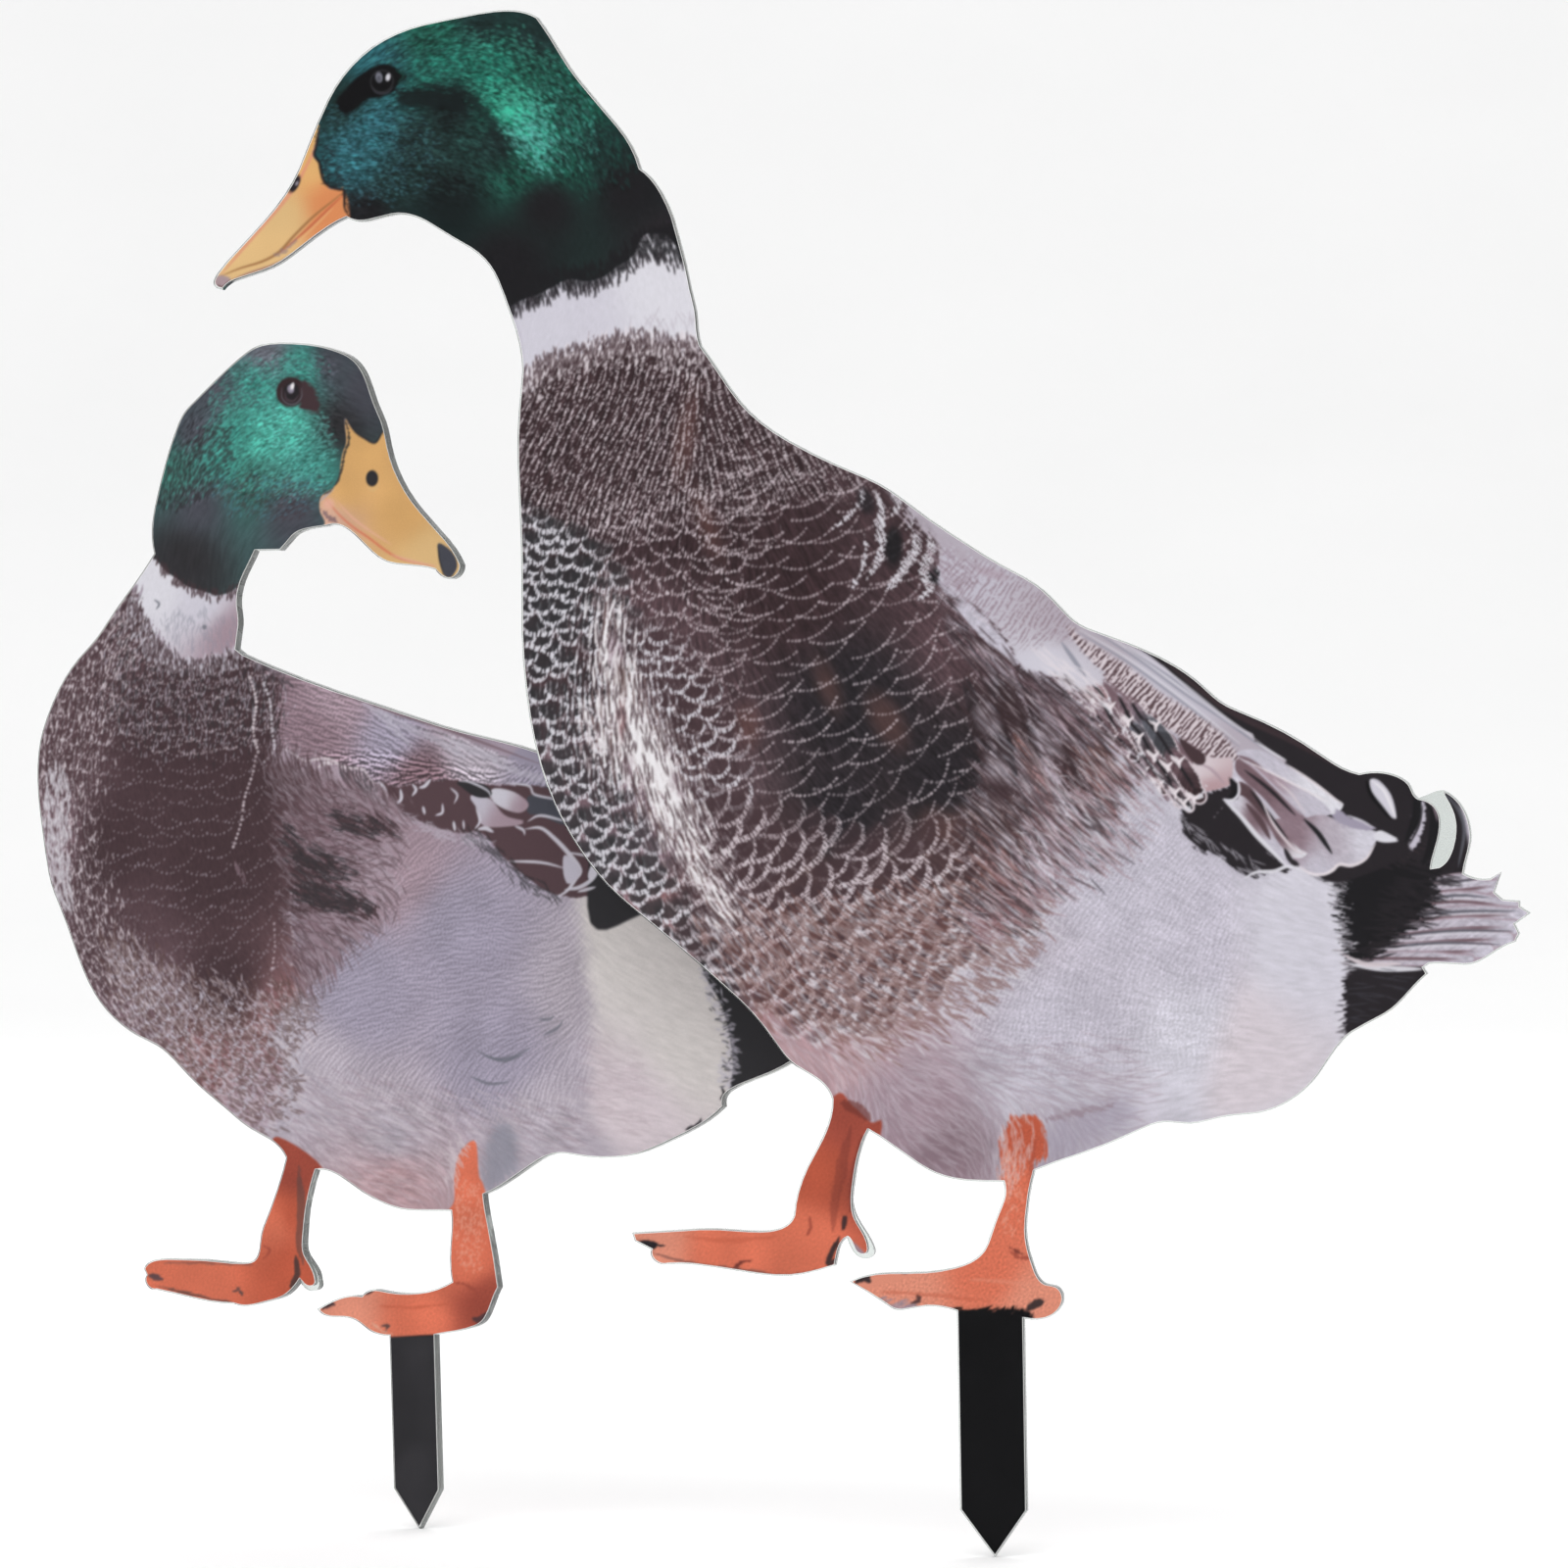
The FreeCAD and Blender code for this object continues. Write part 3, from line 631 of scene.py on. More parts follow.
def large_tertials(p):
    """The long pale feathers at the wing's end, from the back one to the front one."""
    shapes = [
        ([
            (49.3, 163.3), (53.9, 163.9), (59.2, 161.0), (64.8, 157.4), (69.1, 154.2),
            (70.9, 152.9), (69.9, 151.3), (68.0, 150.9), (63.8, 154.0), (56.9, 158.0),
            (51.9, 160.6)], [(53, 161, MIST), (69, 153, FROST)]),
        ([
            (49.3, 161.7), (53.9, 160.2), (58.8, 157.8), (64.8, 154.6), (68.4, 151.5),
            (67.2, 150.5), (63.8, 150.1), (61.2, 151.1), (56.9, 155.4),
            (52.9, 159.0)], [(53, 160, MAUVE), (66, 151, MIST)]),
        ([
            (49.3, 162.1), (50.5, 161.7), (53.9, 159.0), (58.8, 154.6), (62.8, 150.7),
            (64.4, 148.7), (62.4, 147.9), (58.8, 149.5), (54.9, 154.0), (50.9, 157.6),
            (49.1, 159.8)], [(54, 158, TAUPE), (62, 149, DUSK)]),
        ([
            (56.9, 149.5), (58.8, 149.9), (61.8, 148.7), (63.8, 150.3), (67.2, 150.7),
            (71.7, 148.9), (76.7, 147.7), (78.4, 146.9), (77.2, 145.0), (75.5, 142.2),
            (72.9, 140.8), (71.1, 140.6), (69.9, 141.0), (68.4, 139.4), (66.2, 138.6),
            (63.8, 139.2), (61.8, 140.6), (60.4, 142.8),
            (58.8, 145.5)], [(61, 146, DUSK), (68, 145, LILAC), (66, 140, MIST), (76, 146, PEARL)]),
        ([
            (49.3, 157.4), (52.1, 156.4), (55.3, 152.1), (59.2, 147.1), (62.0, 144.0),
            (63.6, 143.0), (62.0, 142.0), (58.8, 143.0), (56.5, 145.7), (52.9, 150.9),
            (49.3, 154.2)], [(54, 153, BARK), (59, 147, TAUPE), (63, 143, FROST)]),
        ([
            (46.5, 154.0), (48.5, 153.8), (50.5, 154.6), (54.9, 150.1), (57.3, 145.9),
            (59.6, 142.8), (60.6, 141.2), (59.4, 140.2), (56.9, 142.6), (53.9, 145.9),
            (50.5, 149.9)], [(49, 153, PEARL), (53, 151, TAUPE), (57, 144, MIST)])]
    for shape, anchors in shapes:
        part, mask = p.fill(shape, anchors, 0.3)
        p.grain((part, mask), p.fine, 0.035)
    p.fill([
        (68.4, 151.1), (70.3, 151.5), (72.7, 149.9), (76.7, 148.5), (76.3, 147.5), (72.7, 148.1),
        (69.7, 149.5)], DOVE, 0.5, 0.2)
    p.fill([
        (78.2, 147.7), (80.2, 146.9), (82.2, 145.6), (79.6, 145.2), (77.6, 145.6),
        (77.1, 146.7)], FROST, 0.3)
    p.fill([
        (47.7, 158.4), (49.3, 157.2), (49.9, 155.4), (49.3, 153.8), (46.9, 154.0),
        (48.3, 155.4)], INK, 0.3)
    for points, width, colour in (
        ([(63.0, 149.9), (65.8, 147.1), (68.6, 143.0)], 1.0, INK),
        ([(50.9, 159.8), (56.1, 155.8), (61.2, 150.7)], 0.8, SOOT),
        ([(52.1, 155.8), (55.3, 151.5), (59.6, 145.9)], 0.8, SOOT),
        ([(59.0, 144.0), (60.0, 142.0), (61.2, 140.4)], 1.0, SOOT),
        ([(60.4, 141.8), (62.0, 140.4)], 0.8, SOOT),
        ([(51.3, 153.0), (54.1, 149.5), (56.1, 145.9)], 1.2, BARK),
        ([(49.7, 162.7), (51.9, 161.7), (54.9, 159.8)], 0.9, TAUPE),
        ([(50.1, 162.1), (56.9, 159.0), (67.8, 153.4)], 0.4, CREAM),
        ([(51.5, 161.7), (58.8, 154.6), (62.4, 150.7)], 0.4, MIST),
        ([(56.9, 158.0), (60.4, 155.0), (63.2, 151.1)], 0.4, SHELL),
        ([(54.5, 153.4), (56.9, 148.7), (61.2, 143.6), (63.4, 143.2)], 0.6, SHELL),
        ([(46.7, 153.8), (50.1, 150.5), (53.3, 146.7), (56.5, 143.4), (59.6, 140.4)], 1.0, FROST),
        ([(50.9, 138.0), (53.3, 139.2), (56.9, 139.4), (59.8, 140.4), (62.8, 139.4)], 0.8, FROST),
        ([
            (61.8, 140.6), (64.2, 139.0), (66.8, 138.8), (68.7, 139.6), (70.1, 140.8),
            (72.7, 140.6), (75.5, 142.0), (77.4, 145.0)], 0.7, CREAM),
        ([(53.1, 165.5), (56.3, 163.5), (59.4, 161.7)], 0.5, FROST),
        ([(59.4, 161.0), (64.8, 157.4), (69.5, 153.8), (70.9, 152.9)], 0.5, CREAM),
        ([(71.7, 150.7), (74.7, 149.5), (77.1, 148.1)], 0.5, PEARL),
        ([(46.5, 154.0), (48.5, 153.8), (49.7, 155.0), (49.7, 157.0), (49.1, 158.4)], 0.6, FROST)):
        p.line(points, width, colour, 0.95)


def large_scapulars(p):
    """The long pale feathers over the shoulder."""
    scapular = [
        (-17.2, 214.8), (-3.1, 205.8), (9.0, 198.7), (17.0, 190.4), (14.6, 188.8), (18.0, 183.8),
        (22.0, 178.8), (21.0, 176.5), (16.6, 176.5), (15.0, 178.5), (8.0, 179.7), (5.8, 180.7),
        (3.8, 184.1), (0.9, 187.8), (-3.1, 192.4), (-9.9, 196.4), (-11.5, 199.8), (-10.7, 204.8),
        (-13.5, 209.8)]
    p.fill(scapular, [(-9, 201, MIST), (14, 190, LILAC), (11, 181, PEARL)], 0.8, 0.4)
    barred = p.area([
        (-11.1, 204.8), (-1.1, 202.8), (9.0, 196.8), (17.0, 188.8), (12.0, 185.8), (5.0, 184.8),
        (-1.1, 189.8), (-9.1, 196.8)], 3)
    p.glints(barred, p.waves, 0.2, DUSK, 0.6)
    p.hairs(p.area([
        (-13.1, 207.8), (-6.1, 204.8), (-3.1, 198.8), (-8.1, 196.8),
        (-12.1, 198.8)], 3), 1.1, 3.0, DUSK, 0.7)
    p.blot((-0.7, 199.8), (3.4, 1.0), MAUVE, -16, 1.0, 0.45)
    p.fill([
        (-18.2, 215.8), (-11.1, 211.2), (-3.1, 206.4), (5.0, 201.5), (0.9, 200.8), (-6.1, 203.2),
        (-13.1, 207.2), (-17.2, 210.8)], LILAC, 1.2, 1.0, 0.9)
    p.line([(13.6, 185.8), (16.0, 182.4), (18.6, 178.8)], 0.9, PEWTER, 0.8)
    p.hairs(p.area([(9.0, 183.8), (19.0, 178.8), (22.0, 172.9), (15.0, 176.9)], 3), 0.9, 5.0, CREAM, 0.9, 10)


def large_coverts(p):
    """The dark feathers with white tips, beside the strip with the fine bars."""
    p.fill([
        (16.0, 178.8), (23.0, 177.8), (29.0, 172.5), (37.0, 166.5), (42.6, 161.8), (42.6, 155.0),
        (39.4, 152.6), (35.0, 154.6), (29.0, 160.0), (23.0, 165.9), (19.0, 170.9)], TAUPE, 1.5, 0.6)
    p.fill([
        (41.0, 162.5), (44.9, 162.3), (48.3, 162.1), (48.3, 158.0), (47.1, 156.4), (41.8, 155.6),
        (40.4, 159.0)], [(42, 160, SHELL), (44, 156, ROSE)], 0.4)
    p.line([(41.4, 161.2), (44.1, 160.0), (46.9, 157.0)], 0.6, MAUVE, 0.7)
    p.fill([
        (37.4, 166.5), (40.6, 164.5), (42.8, 162.9), (42.8, 161.2), (41.0, 161.0),
        (39.0, 163.3)], UMBER, 0.4)
    feathers = [
        ([(16.2, 176.9), (18.2, 174.9), (19.8, 173.3)], 2.8, MAUVE, ROSEWOOD),
        ([(19.4, 178.0), (21.4, 175.7), (23.0, 173.3)], 2.6, MAUVE, ROSEWOOD),
        ([(14.2, 176.1), (15.4, 174.5), (16.6, 172.9)], 2.4, MAUVE, ROSEWOOD),
        ([(17.4, 173.7), (19.0, 171.3), (20.6, 168.9)], 3.0, DUSK, TAUPE),
        ([(21.4, 174.5), (23.4, 170.9), (25.4, 166.5)], 4.0, DUSK, BARK),
        ([(20.6, 171.3), (23.0, 168.1), (25.0, 165.3)], 3.0, TAUPE, UMBER),
        ([(25.0, 175.3), (27.4, 170.5), (29.8, 162.9)], 3.0, DUSK, UMBER),
        ([(23.8, 167.3), (26.2, 165.3), (29.0, 161.8)], 3.2, TAUPE, UMBER),
        ([(27.8, 173.7), (30.2, 170.1), (32.6, 168.5)], 3.2, DUSK, SLATE),
        ([(27.4, 169.7), (30.2, 166.5), (32.6, 161.8)], 3.4, STEEL, UMBER),
        ([(30.2, 170.9), (33.8, 166.5), (37.4, 160.6)], 4.4, STEEL, JET),
        ([(29.8, 163.3), (32.6, 159.8), (34.6, 155.8)], 3.4, TAUPE, UMBER),
        ([(32.2, 162.9), (35.0, 159.0), (37.8, 153.4)], 4.0, TAUPE, JET),
        ([(35.0, 164.5), (38.6, 159.4), (41.8, 154.4)], 4.6, TAUPE, COAL),
        ([(35.4, 157.4), (37.4, 154.6), (39.8, 152.2)], 3.0, TAUPE, JET)]
    for spine, width, root, tip in feathers:
        p.feather(spine, width, (root, tip), SHELL, 0.5, SOOT, barbs=0.10, blunt=0.7)
        end, near = np.array(spine[-1]), np.array(spine[-2])
        back = (near - end) / np.linalg.norm(near - end)
        wide = np.array([-back[1], back[0]]) * width * 0.42
        p.line([end + wide + 0.9 * back, end, end - wide + 0.9 * back], 0.8, FROST, 0.95, fray=0.2)
    p.hairs(p.area(
        [(13.0, 178.9), (19.0, 176.9), (21.0, 172.5), (17.0, 170.9)],
        2), 1.2, 3.4, CREAM, 0.85, 12, bold=1)
    for place in (
        (18.0, 177.5), (15.0, 174.5), (19.4, 171.9), (23.4, 172.7), (29.2, 166.5), (24.0, 166.5),
        (32.2, 162.6), (27.0, 169.7), (32.6, 168.9), (35.0, 160.6), (37.4, 161.6), (36.6, 155.4),
        (38.4, 153.4), (40.4, 154.0), (21.0, 168.7), (27.0, 163.3), (30.2, 159.6), (33.4, 157.0)):
        x, z = place
        p.line([(x - 1.3, z + 1.1), (x, z), (x + 0.4, z - 1.3)], 0.9, CREAM, 0.95, fray=0.2)
        p.line([(x + 1.3, z + 0.9), (x + 0.3, z - 0.2), (x + 0.4, z - 1.3)], 0.7, CREAM, 0.95)
    p.line([
        (17.0, 178.8), (21.0, 174.5), (26.2, 168.5), (30.6, 162.6),
        (35.0, 157.0)], 0.5, FROST, 0.7, fray=0.2)
    p.hairs(p.area([
        (27.0, 164.9), (33.0, 157.0), (39.4, 151.5), (35.0, 151.5),
        (27.0, 160.0)], 2), 1.1, 2.6, PEARL, 0.8, 14)


def large_breast(p):
    """The brown breast, with white at the tips of its feathers."""
    breast = [
        (-98.7, 240.3), (-95.6, 244.3), (-88.4, 247.5), (-80.2, 249.0), (-72.0, 249.3),
        (-63.9, 247.6), (-59.8, 246.8), (-47.6, 233.0), (-31.3, 223.9), (-19.2, 216.8),
        (-11.1, 207.8), (-10.7, 196.8), (-3.1, 186.9), (0.9, 176.9), (-0.1, 161.0), (-3.1, 151.0),
        (-2.3, 141.1), (-5.5, 131.1), (-11.1, 120.1), (-18.2, 115.1), (-27.3, 111.1),
        (-35.4, 107.4), (-45.5, 109.0), (-63.9, 118.9), (-84.3, 134.9), (-100.7, 157.0),
        (-103.8, 197.3), (-102.8, 227.5)]
    part, mask = p.fill(breast, [
        (-80, 237, COAL), (-60, 213, COAL), (-90, 205, COAL), (-88, 181, UMBER), (-76, 187, BARK),
        (-74, 163, MAUVE), (-70, 149, DUSK), (-84, 159, TAUPE), (-60, 132, ROSEWOOD),
        (-63, 169, UMBER), (-44, 197, COAL), (-29, 173, SOOT), (-17, 205, UMBER), (-5, 189, BARK),
        (-31, 149, SOOT), (-11, 157, SOOT), (-5, 145, BROWN), (-37, 133, BROWN), (-17, 135, BROWN),
        (-44, 121, ROSEWOOD), (-11, 125, ROSEWOOD), (-31, 110, ROSE)], 4.0, 1.2)
    p.grain((part, mask), p.hair, 0.10)
    p.grain((part, mask), p.comb, 0.05)
    warm = RUSSET
    for place, size, turn in (
        ((-59.4, 210.1), (1.6, 6), 20), ((-51.2, 168.6), (2.5, 4), 0), ((-22.2, 170.0), (3, 6), 30),
        ((-63.9, 228.2), (2, 8), -10), ((-11.1, 147.0), (3, 5), 30), ((-3.1, 141.1), (6, 4), 0),
        ((-34.4, 177.0), (2, 5), 20)):
        p.blot(place, size, warm, turn, 4.0, 0.45)
    near_ring = p.area([
        (-102.8, 241.6), (-95.6, 244.3), (-80.2, 248.4), (-60.8, 246.8), (-45.5, 232.0),
        (-31.3, 222.9), (-27.3, 216.9), (-51.6, 215.1), (-76.1, 208.2), (-92.5, 205.3),
        (-104.9, 209.4)], 7)
    p.scales(near_ring, [(-76, 233, 2.2), (-84, 209, 2.5), (-52, 221, 2.8)], SHELL, None, 0.5, 1.3, 0.1, 0.6)
    p.beads(near_ring, CREAM, 0.7)
    edge = p.area([
        (-99.7, 240.7), (-95.6, 244.3), (-88.4, 247.5), (-80.2, 248.6), (-67.9, 248.9),
        (-59.4, 246.8), (-55.7, 242.1), (-63.9, 241.6), (-76.1, 243.3), (-88.4, 241.4),
        (-98.7, 235.5)], 4)
    p.hairs(edge, 2.2, 1.5, CREAM, 0.8, 25, bold=1)
    p.hairs(edge, 1.6, 1.3, COAL, 0.9, 25, bold=1)
    inner = p.area([
        (-84.3, 213.3), (-76.1, 217.2), (-59.8, 221.1), (-47.6, 217.0), (-49.6, 201.0),
        (-55.7, 181.0), (-59.8, 165.0), (-65.9, 173.0), (-74.1, 189.1), (-82.3, 197.2)], 7)
    p.scales(inner, [
        (-76, 205, 2.6), (-60, 205, 3.2), (-56, 189, 3.6),
        (-64, 173, 3.4)], SHELL, None, 0.6, 1.6, 0.0, 0.8)
    left = p.area([
        (-105.9, 211.4), (-92.5, 212.3), (-80.2, 205.2), (-74.1, 189.1), (-76.1, 173.1),
        (-76.1, 157.0), (-70.0, 145.0), (-59.8, 131.0), (-51.6, 117.0), (-55.7, 112.9),
        (-80.2, 124.9), (-104.9, 157.0)], 5)
    p.scales(left, [
        (-99, 205, 2.2), (-84, 201, 2.5), (-93, 185, 2.8), (-93, 165, 2.8), (-84, 147, 2.6),
        (-68, 131, 2.7)], FROST, JET, 1.2, 1.2, -0.5, 0.95)
    side = p.area([
        (-76.1, 189.1), (-67.9, 189.1), (-55.7, 173.0), (-51.6, 157.0), (-45.5, 141.0),
        (-55.7, 137.0), (-63.9, 153.0), (-70.0, 169.0), (-74.1, 179.1)], 5)
    p.scales(
        side, [(-72, 181, 2.4), (-64, 165, 2.8), (-52, 147, 3.2)], FROST, UMBER, 1.0, 1.35, -0.4,
        0.9, 0)
    right = p.area([
        (-55.7, 223.1), (-43.5, 225.0), (-23.2, 215.9), (-11.1, 200.8), (-3.1, 176.9),
        (-3.1, 159.0), (-7.1, 147.0), (-31.3, 141.0), (-47.6, 149.0), (-57.7, 165.0),
        (-59.8, 177.0), (-59.8, 201.1)], 5)
    p.arcs(right, [
        (-56, 213, 3.4), (-44, 205, 4.2), (-31, 189, 4.6), (-39, 165, 4.4), (-17, 165, 4.4),
        (-13, 193, 3.6), (-56, 177, 3.8)], 0.85, SHELL, 0.45, 1.75, 0.9, 0.27, -10)
    low = p.area([
        (-63.9, 151.0), (-51.6, 153.0), (-31.3, 147.0), (-7.1, 147.0), (-1.1, 137.1), (-3.1, 123.2),
        (-21.2, 109.1), (-37.4, 107.0), (-51.6, 115.0), (-62.8, 128.9)], 6)
    p.scales(low, [
        (-56, 147, 3.6), (-44, 143, 3.8), (-23, 139, 3.8), (-52, 131, 3.2), (-33, 127, 3.2),
        (-13, 129, 2.8), (-39, 117, 2.6)], SHELL, UMBER, 1.3, 1.7, -0.2, 0.9, -4)
    blend = p.area([
        (-59.8, 128.9), (-31.3, 132.0), (-1.1, 139.1), (9.0, 143.1), (9.0, 125.2), (-7.1, 109.2),
        (-27.3, 103.1), (-47.6, 111.0)], 9)
    p.hairs(blend, 0.9, 3.4, FROST, 0.7, 12, bold=1)
    p.hairs(blend, 0.9, 3.4, RUSSET, 0.7, 12, bold=1)
    large_streak(p)


def large_streak(p):
    """The white streak down the breast, in long dashes."""
    around = p.area([
        (-86.4, 189.2), (-81.2, 197.2), (-76.1, 189.1), (-65.9, 173.0), (-61.8, 159.0),
        (-57.7, 145.0), (-52.6, 131.0), (-56.7, 127.0), (-63.9, 137.0), (-72.0, 147.0),
        (-82.3, 155.0), (-90.5, 165.0), (-90.5, 177.1)], 7, 1.5)
    p.glints(around, p.strands, 0.3, FROST, 0.75)
    p.glints(around, -p.strands, 0.5, UMBER, 0.6)
    sides = p.fill([
        (-81.4, 194.2), (-79.0, 194.2), (-76.9, 185.1), (-73.7, 177.1), (-68.8, 169.0),
        (-65.1, 161.0), (-62.6, 153.0), (-60.6, 145.0), (-57.3, 137.0), (-54.5, 129.0),
        (-57.7, 130.0), (-62.2, 137.0), (-67.1, 145.0), (-72.0, 152.0), (-76.9, 159.0),
        (-83.1, 163.0), (-84.3, 170.1), (-81.8, 177.1), (-81.8, 186.1)], SHELL, 4.5, 1.8, 0.85)
    p.glints(sides, p.strands, -0.1, SNOW, 0.9)
    p.glints(sides, -p.strands, 0.1, BROWN, 0.8)
    p.fill([
        (-76.1, 174.1), (-73.0, 170.0), (-69.6, 166.0), (-66.7, 161.0), (-65.9, 156.0),
        (-63.9, 149.0), (-65.9, 147.0), (-68.8, 153.0), (-72.8, 159.0),
        (-75.7, 165.0)], SNOW, 2.4, 1.0, 0.85)
    for place, size, turn, colour in (
        ((-78.4, 183.5), (1.3, 3.6), 8, MAUVE), ((-77.3, 179.1), (1.0, 3.0), 8, BROWN),
        ((-77.3, 170.1), (0.9, 3.6), 0, ROSEWOOD), ((-75.9, 160.4), (0.8, 2.4), 0, DUSK),
        ((-65.9, 157.0), (0.8, 2.2), 20, DUSK)):
        p.blot(place, size, colour, turn, 1.6, 0.8)
    p.hairs(sides, 0.5, 3.6, SNOW, 0.9, 8, bold=1)
    p.hairs(around, 0.35, 3.0, UMBER, 0.85, 8, bold=1)


def large_shoulder(p):
    """White barred feathers near the back, and the long brown ones beside the wing."""
    p.blot((-20.8, 205.3), (1.8, 4.0), INK, 0, 1.6, 0.9)
    p.blot((-26.5, 214.5), (1.6, 2.6), SOOT, 20, 1.4, 0.8)
    p.blot((-11.7, 199.2), (2.0, 1.6), INK, 0, 1.2, 0.9)
    bars = [
        ([(-28.1, 218.1), (-27.1, 215.3), (-28.5, 213.3), (-30.9, 210.9), (-33.4, 208.9)], 1.0),
        ([
            (-24.7, 216.5), (-23.4, 213.9), (-23.6, 208.9), (-23.2, 204.9), (-24.2, 201.9),
            (-26.5, 198.5)], 2.0),
        ([(-22.2, 216.9), (-20.2, 215.2), (-19.8, 213.6), (-21.4, 211.5)], 1.4),
        ([(-18.4, 214.4), (-16.8, 212.0), (-17.0, 210.0), (-18.2, 208.8)], 1.2),
        ([(-16.8, 208.4), (-16.0, 205.2), (-17.8, 202.1), (-20.0, 198.9), (-22.4, 196.3)], 2.2),
        ([(-14.2, 209.2), (-13.1, 205.6), (-14.6, 200.1), (-13.3, 196.9), (-15.6, 194.5)], 2.0),
        ([(-11.9, 208.4), (-10.7, 204.8), (-10.9, 201.6), (-12.1, 200.0)], 1.2),
        ([(-26.9, 207.9), (-26.5, 204.9), (-27.3, 200.9), (-29.3, 196.9)], 0.8)]
    for bar, width in bars:
        p.line(bar, width, FROST, 0.95, fray=0.25, broken=True)
    p.line([(-10.7, 197.6), (-8.7, 194.4), (-7.9, 191.7)], 0.8, PEARL, 0.8, broken=True)
    brown = [
        (-9.9, 196.8), (-3.1, 192.4), (1.4, 187.6), (4.2, 184.0), (6.2, 180.5), (9.8, 179.3),
        (15.4, 176.9), (20.6, 170.9), (26.0, 163.9), (29.0, 159.0), (23.0, 151.0), (27.0, 143.1),
        (15.0, 137.1), (5.0, 129.2), (-3.1, 125.1), (-6.1, 131.1), (-2.7, 141.1), (-6.1, 151.0),
        (-3.1, 159.0), (-1.1, 172.9), (-6.1, 183.9), (-9.1, 191.9)]
    part, mask = p.fill(brown, [
        (-5, 185, BARK), (7, 177, BARK), (15, 168, TAUPE), (-3, 165, COAL), (5, 169, COAL),
        (10, 160, DUSK), (23, 159, MAUVE), (-5, 157, COAL), (1, 151, BROWN), (15, 151, MAUVE),
        (7, 143, MAUVE), (-3, 137, RUSSET), (-3, 131, ROSEWOOD), (20, 147, LILAC)], 2.5, 1.6, 0.97)
    p.glints((part, mask), p.locks, 0.3, [(-3, 181, MAUVE), (13, 165, LILAC), (13, 149, PEARL)], 0.75)
    p.glints((part, mask), -p.locks, -0.1, [(3, 175, SOOT), (17, 161, BROWN), (13, 149, DUSK)], 0.7)
    for spine, width, tones in (
        ([(-8.3, 192.5), (-3.9, 186.9), (0.1, 179.3)], 3.0, (BARK, MAUVE)),
        ([(-4.7, 188.9), (0.9, 182.5), (4.6, 174.5)], 3.2, (UMBER, DUSK)),
        ([(-6.3, 178.9), (-3.9, 170.9), (-2.3, 161.8)], 3.2, (SOOT, COAL)),
        ([(-3.1, 176.9), (0.5, 168.9), (4.2, 159.0)], 3.4, (COAL, SOOT)),
        ([(-0.7, 178.9), (5.0, 172.1), (9.0, 162.6)], 3.6, (SOOT, COAL)),
        ([(-2.7, 186.9), (3.0, 178.5), (7.4, 169.7)], 2.4, (MAUVE, LILAC)),
        ([(5.4, 178.9), (10.2, 173.7), (14.6, 166.5)], 3.2, (TAUPE, MAUVE)),
        ([(9.4, 176.9), (15.0, 170.5), (19.4, 162.2)], 3.0, (BARK, TAUPE)),
        ([(-3.1, 161.0), (1.8, 152.2), (6.2, 142.7)], 3.6, (UMBER, BROWN)),
        ([(3.0, 168.5), (8.2, 160.2), (12.2, 150.6)], 3.4, (RUSSET, ROSE)),
        ([(9.0, 163.0), (13.8, 155.8), (17.4, 146.7)], 3.2, (MAUVE, PEARL)),
        ([(14.2, 165.3), (19.8, 159.0), (24.6, 150.7)], 3.0, (RUSSET, ROSEWOOD)),
        ([(17.0, 163.0), (22.6, 159.4), (27.4, 155.8)], 2.6, (BROWN, ROSEWOOD)),
        ([(-5.1, 153.0), (-1.9, 145.1), (0.9, 136.7)], 3.2, (BROWN, ROSEWOOD)),
        ([(0.9, 145.1), (4.2, 137.9), (7.0, 130.8)], 2.8, (RUSSET, ROSE)),
        ([(5.0, 151.0), (9.0, 143.9), (12.2, 136.3)], 3.0, (MAUVE, PEARL))):
        p.feather(spine, width, tones, barbs=0.14, slant=1.4, blunt=0.35, cover=0.75)
    p.hairs((part, mask), 0.3, 6.0, SOOT, 0.7, 6, bold=1)
    p.hairs((part, mask), 0.25, 6.0, MIST, 0.7, 6)
    p.feather(
        [(-8.3, 194.8), (-2.5, 189.2), (4.2, 181.7)], 4.4, (MIST, MIST), BARK, 0.5, None,
        barbs=0.04, blunt=0.5)
    p.line([
        (-9.9, 196.4), (-5.1, 194.0), (-0.7, 190.0), (3.4, 184.8),
        (5.8, 180.9)], 0.8, UMBER, 0.9, fray=0.2)
    for shape, colour, cover in (
        ([
            (2.2, 176.9), (5.0, 175.7), (7.0, 172.5), (7.0, 168.5), (5.0, 167.7), (1.8, 168.5),
            (0.9, 172.9)], COAL, 0.85),
        ([
            (13.4, 164.5), (15.8, 163.4), (17.4, 160.6), (17.8, 157.0), (15.4, 156.2),
            (13.4, 158.6)], COAL, 0.9),
        ([(-1.1, 158.0), (1.4, 158.6), (3.8, 155.8), (3.0, 152.2), (-0.3, 152.6)], UMBER, 0.8),
        ([(19.4, 163.9), (23.0, 163.4), (25.4, 160.6), (22.6, 160.2)], RUSSET, 0.6)):
        p.fill(shape, colour, 1.6, 1.0, cover)
    for place in ((-1.5, 169.9), (10.6, 165.5), (0.5, 160.0)):
        p.blot(place, (2.2, 3.4), LILAC, 35, 2.0, 0.5)
    tuft = p.area([
        (-6.1, 188.9), (7.0, 178.9), (21.0, 164.9), (27.0, 159.0), (23.0, 147.1), (9.0, 141.1),
        (-3.1, 131.1), (-8.1, 145.0), (-3.1, 159.0)], 5)
    p.hairs(tuft, 0.15, 6.0, SHELL, 0.7, 6)
    p.hairs(tuft, 0.3, 6.0, COAL, 0.8, 6, bold=1)
    skirt = p.area([
        (15.0, 161.0), (29.0, 159.0), (31.0, 147.1), (19.0, 137.1), (5.0, 127.2), (-5.1, 125.1),
        (0.9, 141.1)], 7)
